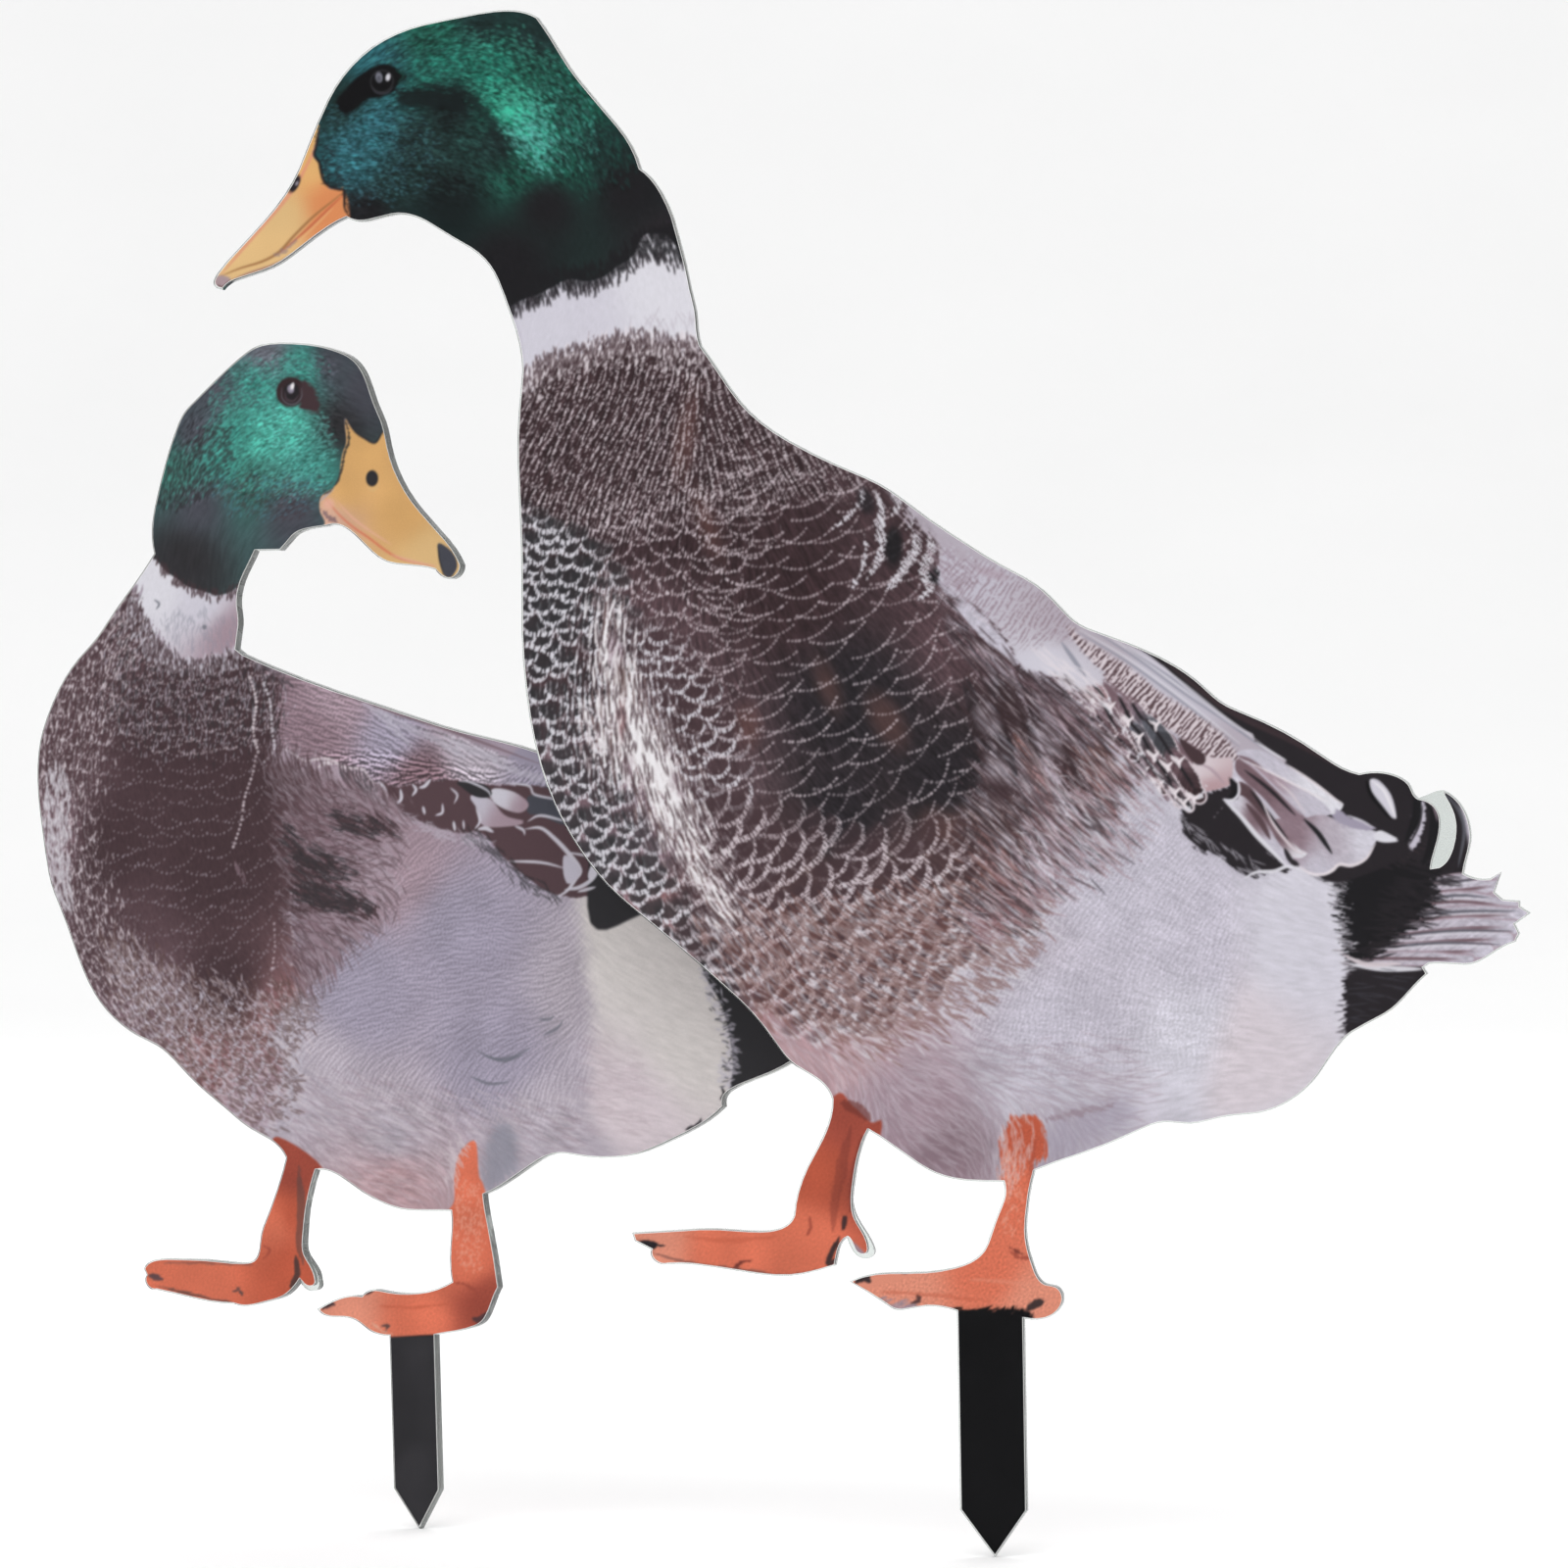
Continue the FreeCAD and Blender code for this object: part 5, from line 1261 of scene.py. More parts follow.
def small_wing(p):
    """The grey barred feathers of the back, and the folded wing below them."""
    p.fill([(66, 153), (60, 160), (30, 166), (20, 160), (30, 152), (45, 146), (66, 142)], DOVE, 1.0)
    panel = [
        (-44.0, 188.3), (-38.8, 182.9), (-29.8, 179.9), (-15.8, 175.3), (5.1, 168.3), (28.2, 160.1),
        (57.4, 150.9), (57.4, 146.8), (30.3, 154.5), (25.7, 156.6), (16.6, 157.0), (7.4, 157.4),
        (0.5, 157.6), (-6.5, 156.4), (-11.1, 157.4), (-15.1, 160.3), (-21.1, 161.6), (-25.1, 161.8),
        (-30.1, 163.5), (-33.1, 166.4), (-34.5, 171.6), (-35.2, 177.8), (-38.8, 180.0)]
    part, mask = p.fill(panel, [
        (-36, 178, DUSK), (-20, 175, MAUVE), (-25, 168, DUSK), (-6, 167, DOVE), (12, 165, LILAC),
        (30, 158, DOVE), (0, 159, TAUPE)], 0.7, 0.2)
    p.grain((part, mask), p.waves, 0.14)
    lower = p.area([
        (-22.8, 163.2), (-6.5, 163.6), (7.4, 161.1), (16.6, 159.1), (16.6, 157.0), (-6.5, 156.4),
        (-13.4, 159.1)], 3)
    p.grain(lower, p.waves, 0.22)
    for points in (
        [(-14.6, 175.2), (-8.8, 171.5), (-1.8, 164.9)],
        [(-10.0, 173.2), (-4.2, 169.8), (2.8, 166.3)], [(0.5, 168.4), (5.1, 165.7), (10.8, 162.8)],
        [(6.2, 166.9), (12.0, 164.2), (22.3, 161.1)],
        [(16.6, 162.1), (23.4, 159.5), (39.4, 155.0)]):
        p.line(points, 1.6, MIST, 0.5, fray=0.2)
    p.line([
        (-41.1, 184.8), (-29.8, 179.9), (-19.3, 176.5), (-6.5, 171.9), (5.1, 168.6),
        (28.2, 160.9)], 0.6, TAUPE, 0.8, shift=(0, 0.35))
    p.hairs(p.area([
        (-42.8, 186.2), (-35.7, 182.0), (-29.8, 177.8), (-34.5, 177.8),
        (-40.4, 180.0)], 1.5), 1.5, 3.0, JET, 0.8, 20, turn=60)
    p.line([
        (-33.3, 164.9), (-30.1, 163.5), (-27.0, 161.8), (-24.7, 162.2), (-21.1, 162.2),
        (-17.6, 160.5), (-13.4, 160.1), (-11.1, 157.6), (-9.0, 156.8)], 0.6, SHELL, 0.95)
    p.line([(-24.0, 160.5), (-22.1, 161.4), (-20.4, 161.2)], 0.9, CREAM, 0.9)
    p.fill([
        (-19.3, 159.9), (-12.3, 158.0), (-8.3, 154.5), (-1.8, 150.8), (2.8, 149.2), (-6.5, 151.6),
        (-13.0, 154.5), (-18.1, 157.0)], JET, 2.0, 0.9, 0.85)
    dark = BARK
    p.fill([
        (-9.3, 157.6), (-5.3, 156.4), (2.8, 157.6), (9.7, 157.8), (16.6, 156.8), (29.4, 156.4),
        (39.4, 152.5), (48.4, 144.8), (52.9, 136.6), (39.4, 133.5), (33.2, 133.7), (29.4, 134.9),
        (24.4, 137.9), (19.3, 142.2), (14.7, 146.7), (9.7, 146.7), (5.5, 147.5), (0.0, 149.2),
        (-4.6, 151.6), (-7.9, 153.5)], dark, 0.4, 0.1)
    p.fill([(29.4, 156.4), (52, 152), (66, 148), (70, 138), (52, 130), (40, 128), (39.4, 152.5)], JET, 0.8)
    for spine in (
        [(42, 150), (58, 151), (78, 149)], [(44, 146), (60, 146), (76, 143)],
        [(44, 142), (58, 141), (70, 138)]):
        p.feather(spine, 4.4, (PEWTER, STEEL), PEARL, 0.5, BARK, barbs=0.05, blunt=0.6)
    p.fill([
        (26.2, 154.7), (33.9, 153.7), (39.4, 151.7), (34.8, 148.4), (28.5, 150.4), (25.7, 150.8),
        (25.3, 152.5)], SLATE, 0.3, 0.0)
    p.fill([
        (12.0, 154.5), (16.6, 153.9), (20.2, 150.4), (24.8, 149.2), (22.1, 148.2), (15.2, 148.2),
        (13.8, 151.6)], [(13, 154, MIST), (21, 149, MAUVE)], 0.3)
    p.fill([
        (17.3, 156.0), (22.1, 155.4), (25.7, 152.9), (23.9, 151.0), (20.2, 151.7),
        (17.3, 153.5)], [(19, 155, PEARL), (25, 152, MAUVE)], 0.3)
    p.fill([
        (8.8, 157.6), (14.3, 157.2), (16.8, 155.8), (16.8, 154.3), (13.4, 154.3),
        (10.2, 156.2)], JET, 0.2)
    for points, width in (
        ([(-9.5, 157.6), (-8.1, 155.8), (-7.4, 153.3)], 0.9),
        ([(-4.4, 156.0), (-4.2, 153.9), (-5.5, 152.7)], 0.8),
        ([(-1.6, 157.0), (-0.7, 155.8), (-1.6, 154.5)], 0.7),
        ([(2.8, 158.0), (1.4, 156.6), (0.0, 156.2)], 0.8), ([(0.9, 152.3), (1.4, 150.6)], 0.7),
        ([(5.5, 152.9), (5.5, 151.0), (3.9, 150.4)], 0.6),
        ([(7.4, 156.2), (9.0, 154.7), (8.3, 152.9)], 0.5), ([(8.1, 149.2), (8.5, 147.1)], 0.7),
        ([(10.4, 149.4), (10.6, 147.5)], 0.5), ([(13.4, 152.1), (14.3, 149.2), (13.1, 147.5)], 0.6),
        ([(9.5, 157.6), (12.0, 157.4), (16.1, 155.6), (17.0, 153.7)], 0.5),
        ([(13.8, 147.5), (15.7, 147.7), (17.5, 146.9)], 0.9),
        ([(20.7, 157.2), (25.7, 156.6), (26.9, 154.9), (30.3, 154.1), (34.8, 153.3)], 0.5),
        ([(22.5, 148.2), (24.4, 147.4), (24.8, 146.3)], 0.6),
        ([(25.5, 149.2), (28.5, 150.4), (34.4, 149.2)], 0.6),
        ([
            (25.0, 147.6), (28.5, 147.8), (31.6, 145.7), (34.8, 142.7), (37.6, 139.2),
            (36.6, 137.2), (34.6, 134.7), (31.9, 133.2)], 1.0),
        ([(20.7, 140.8), (28.5, 140.6), (34.1, 139.4)], 0.6),
        ([(34.8, 142.7), (38.9, 142.1), (40.7, 141.9)], 0.5),
        ([(42.1, 139.8), (40.7, 137.4), (37.6, 135.5), (34.1, 134.9)], 0.9),
        ([(41.2, 135.5), (37.1, 134.5)], 0.7)):
        p.line(points, width, PEARL, 0.95)
    p.fill([(34.1, 142.3), (37.6, 139.2), (36.9, 137.4), (34.8, 136.1), (33.7, 138.8)], MIST, 0.3)
    p.fill([(40.7, 140.7), (42.1, 139.4), (40.3, 136.8), (39.4, 138.0)], PEARL, 0.3)
    edge = p.area([
        (13.1, 146.7), (20.0, 142.2), (25.7, 137.5), (32.6, 133.5), (30.3, 132.0), (22.3, 136.9),
        (15.4, 143.0), (9.7, 145.5)], 2)
    p.hairs(edge, 1.4, 2.6, JET, 0.9, 14, turn=4)
    p.hairs(p.area([
        (-8.3, 153.3), (0.5, 149.2), (12.0, 146.3), (16.6, 144.2), (9.7, 144.2), (-1.8, 147.5),
        (-8.8, 150.8)], 1.5), 1.6, 2.6, MIST, 0.7, 16, turn=30)


def small_tufts(p):
    """Brown and grey hair between the breast and the flank."""
    tufts = [
        (-35.0, 163.3), (-29.8, 162.8), (-20.4, 159.1), (-11.1, 155.8), (-4.2, 150.8),
        (-5.3, 140.5), (-6.5, 130.1), (-15.8, 122.8), (-22.8, 115.4), (-28.6, 115.4),
        (-32.2, 136.2), (-34.0, 152.8)]
    p.fill(tufts, [
        (-33, 155, BARK), (-25, 150, TAUPE), (-18, 145, DUSK), (-29, 135, BARK), (-10, 137, MAUVE),
        (-22, 127, DUSK)], 5.0, 1.5)
    part, mask = p.area(tufts, 7)
    p.hairs((part, mask), 0.9, 3.4, LILAC, 0.6, 14)
    p.hairs((part, mask), 0.7, 3.6, UMBER, 0.7, 14)
    for shape in (
        [
            (-31.7, 147.6), (-27.5, 144.1), (-20.4, 140.8), (-15.3, 137.9), (-20.4, 137.1),
            (-28.6, 138.7)],
        [
            (-29.8, 136.2), (-21.6, 135.2), (-14.6, 133.2), (-11.1, 130.5), (-19.3, 130.0),
            (-27.9, 131.6)],
        [(-19.3, 150.8), (-13.0, 149.1), (-6.0, 147.7), (-11.1, 146.2), (-18.1, 147.5)]):
        dark = p.fill(shape, UMBER, 1.6, 1.4, 0.85)
        p.hairs(p.area(shape, 4), 1.2, 3.4, JET, 0.85, 10, bold=1)
        p.grain(dark, p.fine, 0.06)


def small_breast(p):
    """The dark brown breast: white specks, in dashes at its left and lower edges."""
    breast = [
        (-70.2, 201.2), (-66.6, 195.9), (-63.0, 188.5), (-58.7, 183.8), (-53.4, 182.8),
        (-50.4, 183.6), (-46.8, 184.6), (-43.2, 186.0), (-38.8, 182.0), (-33.6, 177.8),
        (-33.3, 165.3), (-32.2, 157.0), (-29.3, 146.6), (-22.8, 140.4), (-28.6, 135.1),
        (-29.8, 127.9), (-25.6, 117.5), (-27.0, 113.3), (-32.2, 109.1), (-35.7, 102.8),
        (-32.2, 94.5), (-34.5, 75.7), (-58.2, 89.9), (-79.8, 108.5), (-94.3, 135.8), (-99.1, 165.5),
        (-87.0, 184.5), (-77.4, 194.9)]
    part, mask = p.fill(breast, [
        (-73, 186, BARK), (-86, 165, BARK), (-89, 146, TAUPE), (-63, 170, UMBER), (-42, 165, UMBER),
        (-75, 144, UMBER), (-49, 140, UMBER), (-73, 123, BARK), (-68, 109, TAUPE),
        (-46, 113, UMBER), (-51, 97, ROSEWOOD), (-33, 106, ROSEWOOD), (-40, 89, MAUVE),
        (-31, 82, LILAC)], 2.5, 0.9)
    p.grain((part, mask), p.fine, 0.05)
    left = p.area([
        (-101.6, 165.5), (-89.4, 186.6), (-77.4, 197.0), (-67.8, 199.0), (-65.4, 190.6),
        (-70.2, 180.1), (-74.5, 165.4), (-77.8, 152.8), (-75.4, 135.9), (-66.6, 121.3),
        (-57.0, 110.9), (-55.8, 100.4), (-60.6, 89.9), (-79.8, 104.3), (-99.1, 131.6)], 11)
    p.scales(left, [
        (-77, 187, 2.0), (-87, 165, 2.0), (-80, 165, 2.4), (-87, 146, 2.0), (-80, 140, 2.6),
        (-77, 123, 2.4), (-68, 109, 2.2)], SHELL, None, 0.6, 1.2, 0.0, 0.75)
    p.beads(left, FROST, 0.35)
    p.hairs(left, 0.25, 1.5, CREAM, 0.8, 12, bold=1)
    p.hairs(left, 0.8, 1.8, UMBER, 0.8, 12)
    pale = p.area([
        (-89.9, 159.1), (-85.6, 157.0), (-85.1, 140.1), (-83.6, 131.7), (-87.0, 131.6),
        (-90.9, 142.2)], 4)
    p.hairs(pale, 1.8, 2.4, FROST, 0.85, 8, bold=1)
    top = p.area([
        (-70.2, 199.1), (-65.4, 192.7), (-58.2, 186.4), (-43.2, 187.3), (-34.5, 177.8),
        (-35.7, 168.5), (-48.7, 164.3), (-65.4, 165.4), (-75.0, 173.8)], 10)
    p.hairs(top, 0.8, 1.3, MIST, 0.8, 16)
    p.hairs(top, 0.8, 1.6, JET, 0.8, 14)
    p.arcs(top, 2.4, 0.8, SHELL, 0.3, 1.2, 0.8, 0.22)
    centre = p.area([
        (-72.6, 180.2), (-38.8, 177.9), (-31.7, 159.1), (-31.7, 140.3), (-33.3, 119.5),
        (-44.0, 111.0), (-65.4, 117.1), (-75.0, 135.9), (-76.2, 157.0)], 10)
    p.arcs(centre, 3.2, 1.1, LILAC, 0.4, 1.5, 0.75, 0.2)
    p.dots([(-40.4, 180.0), (-38.8, 174.7), (-39.5, 168.5), (-38.3, 163.7)], 0.9, 0.34, CREAM, 0.9)
    p.dots([
        (-37.3, 178.9), (-35.5, 174.7), (-35.0, 168.5), (-34.5, 164.3),
        (-37.3, 161.2)], 0.9, 0.32, FROST, 0.9)
    p.dots([
        (-38.8, 163.3), (-39.7, 159.1), (-41.6, 153.9), (-42.5, 148.6),
        (-44.4, 143.4)], 1.0, 0.3, SHELL, 0.9)
    p.dots([(-30.3, 135.1), (-30.8, 129.9), (-29.8, 123.7), (-30.3, 118.5)], 1.0, 0.3, SHELL, 0.8)
    p.dots([(-34.5, 127.8), (-34.3, 122.6), (-35.0, 117.4)], 1.2, 0.26, SHELL, 0.8)
    p.line([(-44.0, 140.3), (-42.3, 138.2), (-41.1, 135.7)], 1.2, DUSK, 0.6, fray=0.3)
    low = p.area([
        (-75.0, 123.3), (-53.4, 115.1), (-36.9, 113.2), (-27.5, 114.4), (-28.6, 102.9),
        (-29.8, 90.4), (-36.9, 84.0), (-53.4, 92.1), (-67.8, 102.3)], 8)
    p.hairs(low, 0.9, 2.4, SHELL, 0.7, 18, bold=1)
    p.hairs(low, 1.1, 2.4, BROWN, 0.75, 18, bold=1)
    p.scales(low, [
        (-68, 113, 2.2), (-53, 105, 2.6), (-39, 103, 2.8),
        (-35, 94, 2.6)], MIST, None, 0.8, 1.4, 0.0, 0.7)
    p.hairs(p.area([
        (-32.2, 115.3), (-24.0, 117.5), (-25.1, 107.1),
        (-32.2, 102.8)], 3), 1.2, 2.6, BROWN, 0.6, 14, turn=40)


def small_ring(p):
    """The white ring round the neck."""
    ring = [
        (-72.6, 201.2), (-67.8, 207.5), (-63.0, 207.4), (-43.2, 200.9), (-40.2, 198.7),
        (-40.2, 186.2), (-43.2, 185.8), (-46.3, 185.4), (-49.9, 184.0), (-53.4, 183.4),
        (-58.2, 184.5), (-61.3, 187.4), (-65.4, 192.7), (-68.2, 199.0)]
    part, mask = p.fill(ring, [(-63, 199, FROST), (-52, 196, PEARL), (-45, 188, MAUVE)], 0.6, 0.7)
    p.grain((part, mask), p.fine, 0.012)
    p.hairs(p.area([
        (-61.1, 193.1), (-50.6, 193.6), (-44.0, 192.5), (-44.0, 186.3), (-55.8, 185.9),
        (-60.1, 188.5)], 2), 0.9, 2.2, PEWTER, 0.6, 14)
    edge = p.area([
        (-69.7, 198.0), (-65.4, 192.3), (-61.1, 186.4), (-53.4, 183.4), (-44.0, 185.4),
        (-43.2, 182.1), (-53.4, 180.0), (-63.0, 182.2), (-69.7, 190.7)], 1.5)
    p.hairs(edge, 2.0, 1.7, PEARL, 0.9, 14, bold=1)
    p.hairs(edge, 1.4, 1.6, UMBER, 0.85, 16, bold=1)
    p.line([(-63.5, 196.5), (-62.3, 195.6), (-63.0, 194.4)], 0.5, STEEL, 0.8)
    p.blot((-51.3, 190.5), (0.5, 0.5), STEEL, 0, 0.4, 0.8)


def small_head(p):
    """The green head, brightest on the cheek."""
    head = [
        (-67.8, 207.5), (-63.5, 205.3), (-60.6, 202.5), (-57.5, 200.6), (-55.6, 199.3),
        (-50.4, 197.8), (-48.5, 197.2), (-45.4, 197.8), (-43.2, 199.2), (-38.8, 203.9),
        (-29.8, 207.0), (-22.3, 211.4), (-23.3, 217.3), (-22.3, 218.7), (-20.4, 219.7),
        (-19.0, 221.8), (-18.6, 224.5), (-18.1, 227.1), (-17.2, 229.6), (-17.6, 234.4),
        (-15.3, 231.7), (-10.4, 229.1), (-8.6, 231.3), (-6.0, 234.0), (-6.5, 243.9), (-13.4, 253.4),
        (-41.6, 254.1), (-67.8, 234.8), (-70.2, 215.9)]
    part, mask = p.fill(head, [
        (-37, 249, STEEL), (-22, 246, SLATE), (-13, 240, SLATE), (-49, 241, SLATE), (-39, 242, SEA),
        (-27, 245, SEA), (-31, 232, TURQUOISE), (-43, 232, SEA), (-38, 230, TURQUOISE),
        (-26, 225, SEA), (-39, 222, MOSS), (-48, 227, SEA), (-58, 224, MOSS), (-53, 232, SLATE),
        (-53, 217, SLATE), (-30, 215, SLATE), (-19, 233, JET), (-56, 205, JET)], 0.5)
    sheen = p.area([
        (-41.6, 248.9), (-22.8, 248.8), (-18.1, 240.0), (-19.3, 231.7), (-21.6, 221.4),
        (-29.8, 215.3), (-46.3, 217.6), (-63.0, 215.8), (-61.8, 228.4), (-51.1, 240.7)], 4)
    p.grain(sheen, p.fine, 0.20)
    p.grain((part, mask), p.hair, 0.04)
    bright = p.area([
        (-45.1, 240.6), (-32.2, 237.2), (-24.0, 236.0), (-20.9, 229.7), (-22.8, 219.3),
        (-32.2, 218.4), (-44.0, 221.8), (-48.2, 230.2)], 4)
    p.hairs(bright, 2.6, 0.9, [(-31, 231, SPRAY), (-43, 230, TURQUOISE)], 0.8, 12)
    p.hairs(bright, 2.2, 0.9, MOSS, 0.7, 12)
    upper = p.area([
        (-49.9, 240.7), (-39.2, 246.7), (-22.8, 247.4), (-22.8, 244.3), (-34.5, 243.5),
        (-36.9, 238.3), (-47.5, 235.4)], 3)
    p.hairs(upper, 2.2, 0.8, TURQUOISE, 0.75, 14)
    p.hairs(upper, 2.0, 0.9, SLATE, 0.7, 14)
    side = p.area([
        (-63.0, 220.0), (-55.8, 229.3), (-47.5, 234.4), (-45.1, 226.0), (-49.9, 219.8),
        (-59.4, 215.7)], 3)
    p.hairs(side, 1.3, 1.4, TURQUOISE, 0.7, 10, bold=0)
    p.hairs(side, 1.6, 1.4, JET, 0.8, 10, bold=1)
    lower = p.area([(-48.7, 221.8), (-22.8, 221.4), (-27.5, 214.2), (-44.0, 214.5)], 3)
    p.hairs(lower, 1.2, 1.1, LAGOON, 0.5, 12)
    p.hairs(lower, 1.2, 1.2, UMBER, 0.7, 12)
    p.hairs(p.area([
        (-22.8, 248.4), (-12.3, 244.0), (-7.6, 231.5), (-15.8, 233.7),
        (-20.4, 240.1)], 3), 0.8, 1.4, SLATE, 0.5, 12)
    fringe = p.area([
        (-64.2, 206.1), (-60.6, 203.2), (-55.8, 200.2), (-50.4, 198.6), (-45.9, 198.4),
        (-42.8, 200.0), (-43.2, 197.5), (-45.9, 196.3), (-50.1, 196.3), (-55.8, 198.1),
        (-61.1, 201.5)], 0.8)
    p.hairs(fringe, 2.2, 1.7, UMBER, 1.0, 10, bold=1)


def small_bill(p):
    """The yellow bill, with its nostril and its dark nail."""
    bill = [
        (-17.6, 234.4), (-16.2, 232.5), (-13.4, 230.4), (-10.4, 229.1), (-8.6, 231.3),
        (-6.9, 232.3), (-4.2, 225.2), (5.1, 214.8), (14.3, 202.3), (9.7, 198.2), (0.5, 198.3),
        (-11.1, 200.5), (-20.4, 208.9), (-24.0, 210.0), (-22.3, 212.3), (-23.5, 214.8),
        (-23.5, 217.3), (-22.3, 218.7), (-20.4, 219.7), (-19.0, 221.8), (-18.6, 224.5),
        (-18.1, 227.1), (-17.2, 229.6)]
    part, mask = p.fill(bill, [
        (-13, 227, HONEY), (-18, 219, HONEY), (-4, 215, HONEY), (3, 204, BISCUIT),
        (-21, 213, PEACH)], 0.3)
    p.grain((part, mask), p.clouds, 0.015)
    p.line([
        (-22.1, 217.5), (-19.0, 214.1), (-15.5, 211.3), (-12.1, 209.2), (-5.1, 204.8),
        (3.7, 202.8)], 0.5, CORAL, 0.8)
    p.line([(-19.3, 216.8), (-15.8, 213.4), (-11.6, 210.5), (-6.5, 207.5)], 0.6, BLUSH, 0.6)
    p.line([(-6.5, 205.4), (-0.7, 203.7), (4.2, 202.8)], 0.7, BLUSH, 0.6)
    p.blot((-21.4, 216.4), (1.3, 1.1), BLUSH, 0, 1.2, 0.8)
    p.line([(-23.5, 216.9), (-22.1, 218.1), (-20.2, 219.5)], 0.5, LILAC, 0.8)
    p.line([(-23.3, 215.2), (-21.8, 213.9), (-19.5, 212.4)], 0.8, TAUPE, 0.7, fray=0.2)
    p.blot((-11.1, 221.6), (1.45, 1.7), JET, 0, 0.35)
    p.line([(-12.5, 219.8), (-10.7, 219.1), (-9.3, 220.4)], 0.5, BISCUIT, 0.7)
    p.fill([
        (4.4, 207.5), (5.8, 207.3), (8.1, 205.4), (9.0, 202.7), (7.4, 200.5), (5.8, 201.1),
        (4.9, 204.0)], SLATE, 0.25)
    p.line([(4.4, 207.5), (4.9, 204.0), (5.8, 201.1)], 0.4, JET, 0.9)
    p.line([
        (-17.2, 234.4), (-15.3, 231.7), (-13.0, 230.2), (-10.4, 229.1), (-8.6, 231.3),
        (-7.2, 232.1)], 0.5, JET, 0.9)
    p.line([
        (-17.4, 233.8), (-16.7, 231.5), (-16.7, 229.2), (-17.6, 227.1), (-18.3, 223.8),
        (-19.3, 221.1), (-20.9, 219.3), (-22.5, 218.5)], 0.6, JET, 0.8, fray=0.1)


def small_eye(p):
    """The eye and the glint in it."""
    # The eye's black is painted paler (COAL, SOOT) than the large duck's: painted reflection of light off
    # the turned sheet.
    p.blot((-30.5, 240.3), (3.5, 3.2), COAL, 0, 0.7)
    p.fill([
        (-27.9, 242.7), (-25.1, 241.2), (-23.7, 238.1), (-23.7, 236.0), (-26.1, 236.0),
        (-28.4, 237.7)], UMBER, 1.2, 0.2)
    p.blot((-30.3, 240.1), (1.9, 2.2), SOOT, 0, 0.4)
    p.line([
        (-32.6, 241.2), (-32.6, 239.1), (-31.2, 237.8), (-29.3, 237.8), (-27.9, 239.2),
        (-27.9, 241.1)], 0.4, STEEL, 0.7)
    p.line([(-31.9, 240.5), (-31.5, 238.8), (-29.8, 238.4), (-28.6, 239.6)], 0.35, TAUPE, 0.6)
    p.blot((-30.5, 240.9), (0.8, 0.95), DOVE, 20, 0.4, 0.9)
    p.blot((-30.1, 241.5), (0.45, 0.75), SNOW, -15, 0.3)


def small_legs(p):
    """The orange legs and webbed feet."""
    orange_leg(
        p,
        [
            (-33.6, 82.0), (-22.8, 75.5), (-24.7, 67.6), (-25.6, 57.2), (-22.8, 49.0),
            (-29.8, 50.4), (-30.8, 47.7), (-41.6, 44.2), (-67.8, 47.7), (-67.8, 56.1),
            (-44.0, 56.7), (-40.6, 60.6), (-38.8, 70.4), (-35.5, 77.8)],
        [(-29, 75, BRICK), (-30, 65, RUST), (-34, 63, CORAL), (-30, 55, RUST), (-53, 51, CORAL)],
        [
            ([(-28.6, 75.8), (-27.9, 67.5), (-28.4, 59.2), (-27.5, 55.1)], 2.0, BROWN, 0.6),
            ([(-29.3, 56.7), (-28.9, 52.9), (-30.8, 49.8)], 1.6, JET, 0.75),
            ([(-37.3, 59.0), (-35.5, 57.8), (-36.9, 56.1)], 0.6, BRICK, 0.8),
            ([(-64.6, 51.6), (-63.0, 51.4), (-61.5, 50.8)], 1.3, BARK, 0.9),
            ([(-44.4, 48.8), (-43.0, 49.2), (-42.1, 48.0)], 0.8, BROWN, 0.9),
            ([(-63.0, 49.5), (-53.4, 47.7), (-44.0, 46.3)], 0.6, BROWN, 0.8),
            ([(-61.8, 54.6), (-48.7, 54.7), (-38.8, 54.6)], 0.5, RUSSET, 0.6)])
    orange_leg(
        p,
        [
            (8.3, 74.6), (9.2, 78.7), (11.1, 81.2), (13.4, 81.7), (14.1, 74.7), (15.7, 71.0),
            (21.2, 48.1), (16.6, 40.6), (5.1, 41.1), (-6.5, 40.3), (-13.4, 40.1), (-25.1, 43.7),
            (-25.1, 47.8), (-18.1, 49.5), (-6.5, 51.1), (4.6, 52.6), (5.5, 55.9), (6.5, 65.9),
            (8.3, 69.4)],
        [(11, 73, CORAL), (12, 56, CORAL), (0, 45, CORAL), (-18, 47, SALMON), (15, 49, BRICK)],
        [
            ([(8.5, 52.1), (10.8, 51.8), (13.4, 50.4), (14.3, 49.2)], 0.7, BRICK, 0.8),
            ([(12.5, 44.6), (14.7, 44.7), (16.6, 46.0)], 1.4, UMBER, 0.85),
            ([(-23.0, 46.0), (-20.9, 46.9), (-20.0, 46.7)], 1.5, UMBER, 0.95),
            ([(-12.7, 49.0), (-11.6, 49.9), (-10.7, 49.9)], 1.0, UMBER, 0.9),
            ([(-8.8, 42.5), (-7.4, 42.6), (-7.9, 41.5)], 0.8, BROWN, 0.9),
            ([(-11.1, 43.1), (-8.8, 41.5), (-6.5, 40.9)], 0.5, PEACH, 0.7),
            ([(-10.0, 46.8), (-1.8, 46.7), (7.4, 47.7)], 0.6, RUST, 0.5)])
    shin = p.area([(8.8, 71.5), (14.3, 71.6), (14.7, 56.2), (9.7, 56.1)], 1.5)
    p.hairs(shin, 2.2, 0.8, BLUSH, 0.7, 40)
    p.hairs(p.area([
        (6.9, 80.7), (11.1, 82.0), (10.2, 77.7), (7.9, 72.1),
        (6.5, 73.5)], 1.5), 2.4, 2.0, SHELL, 0.85, 16)


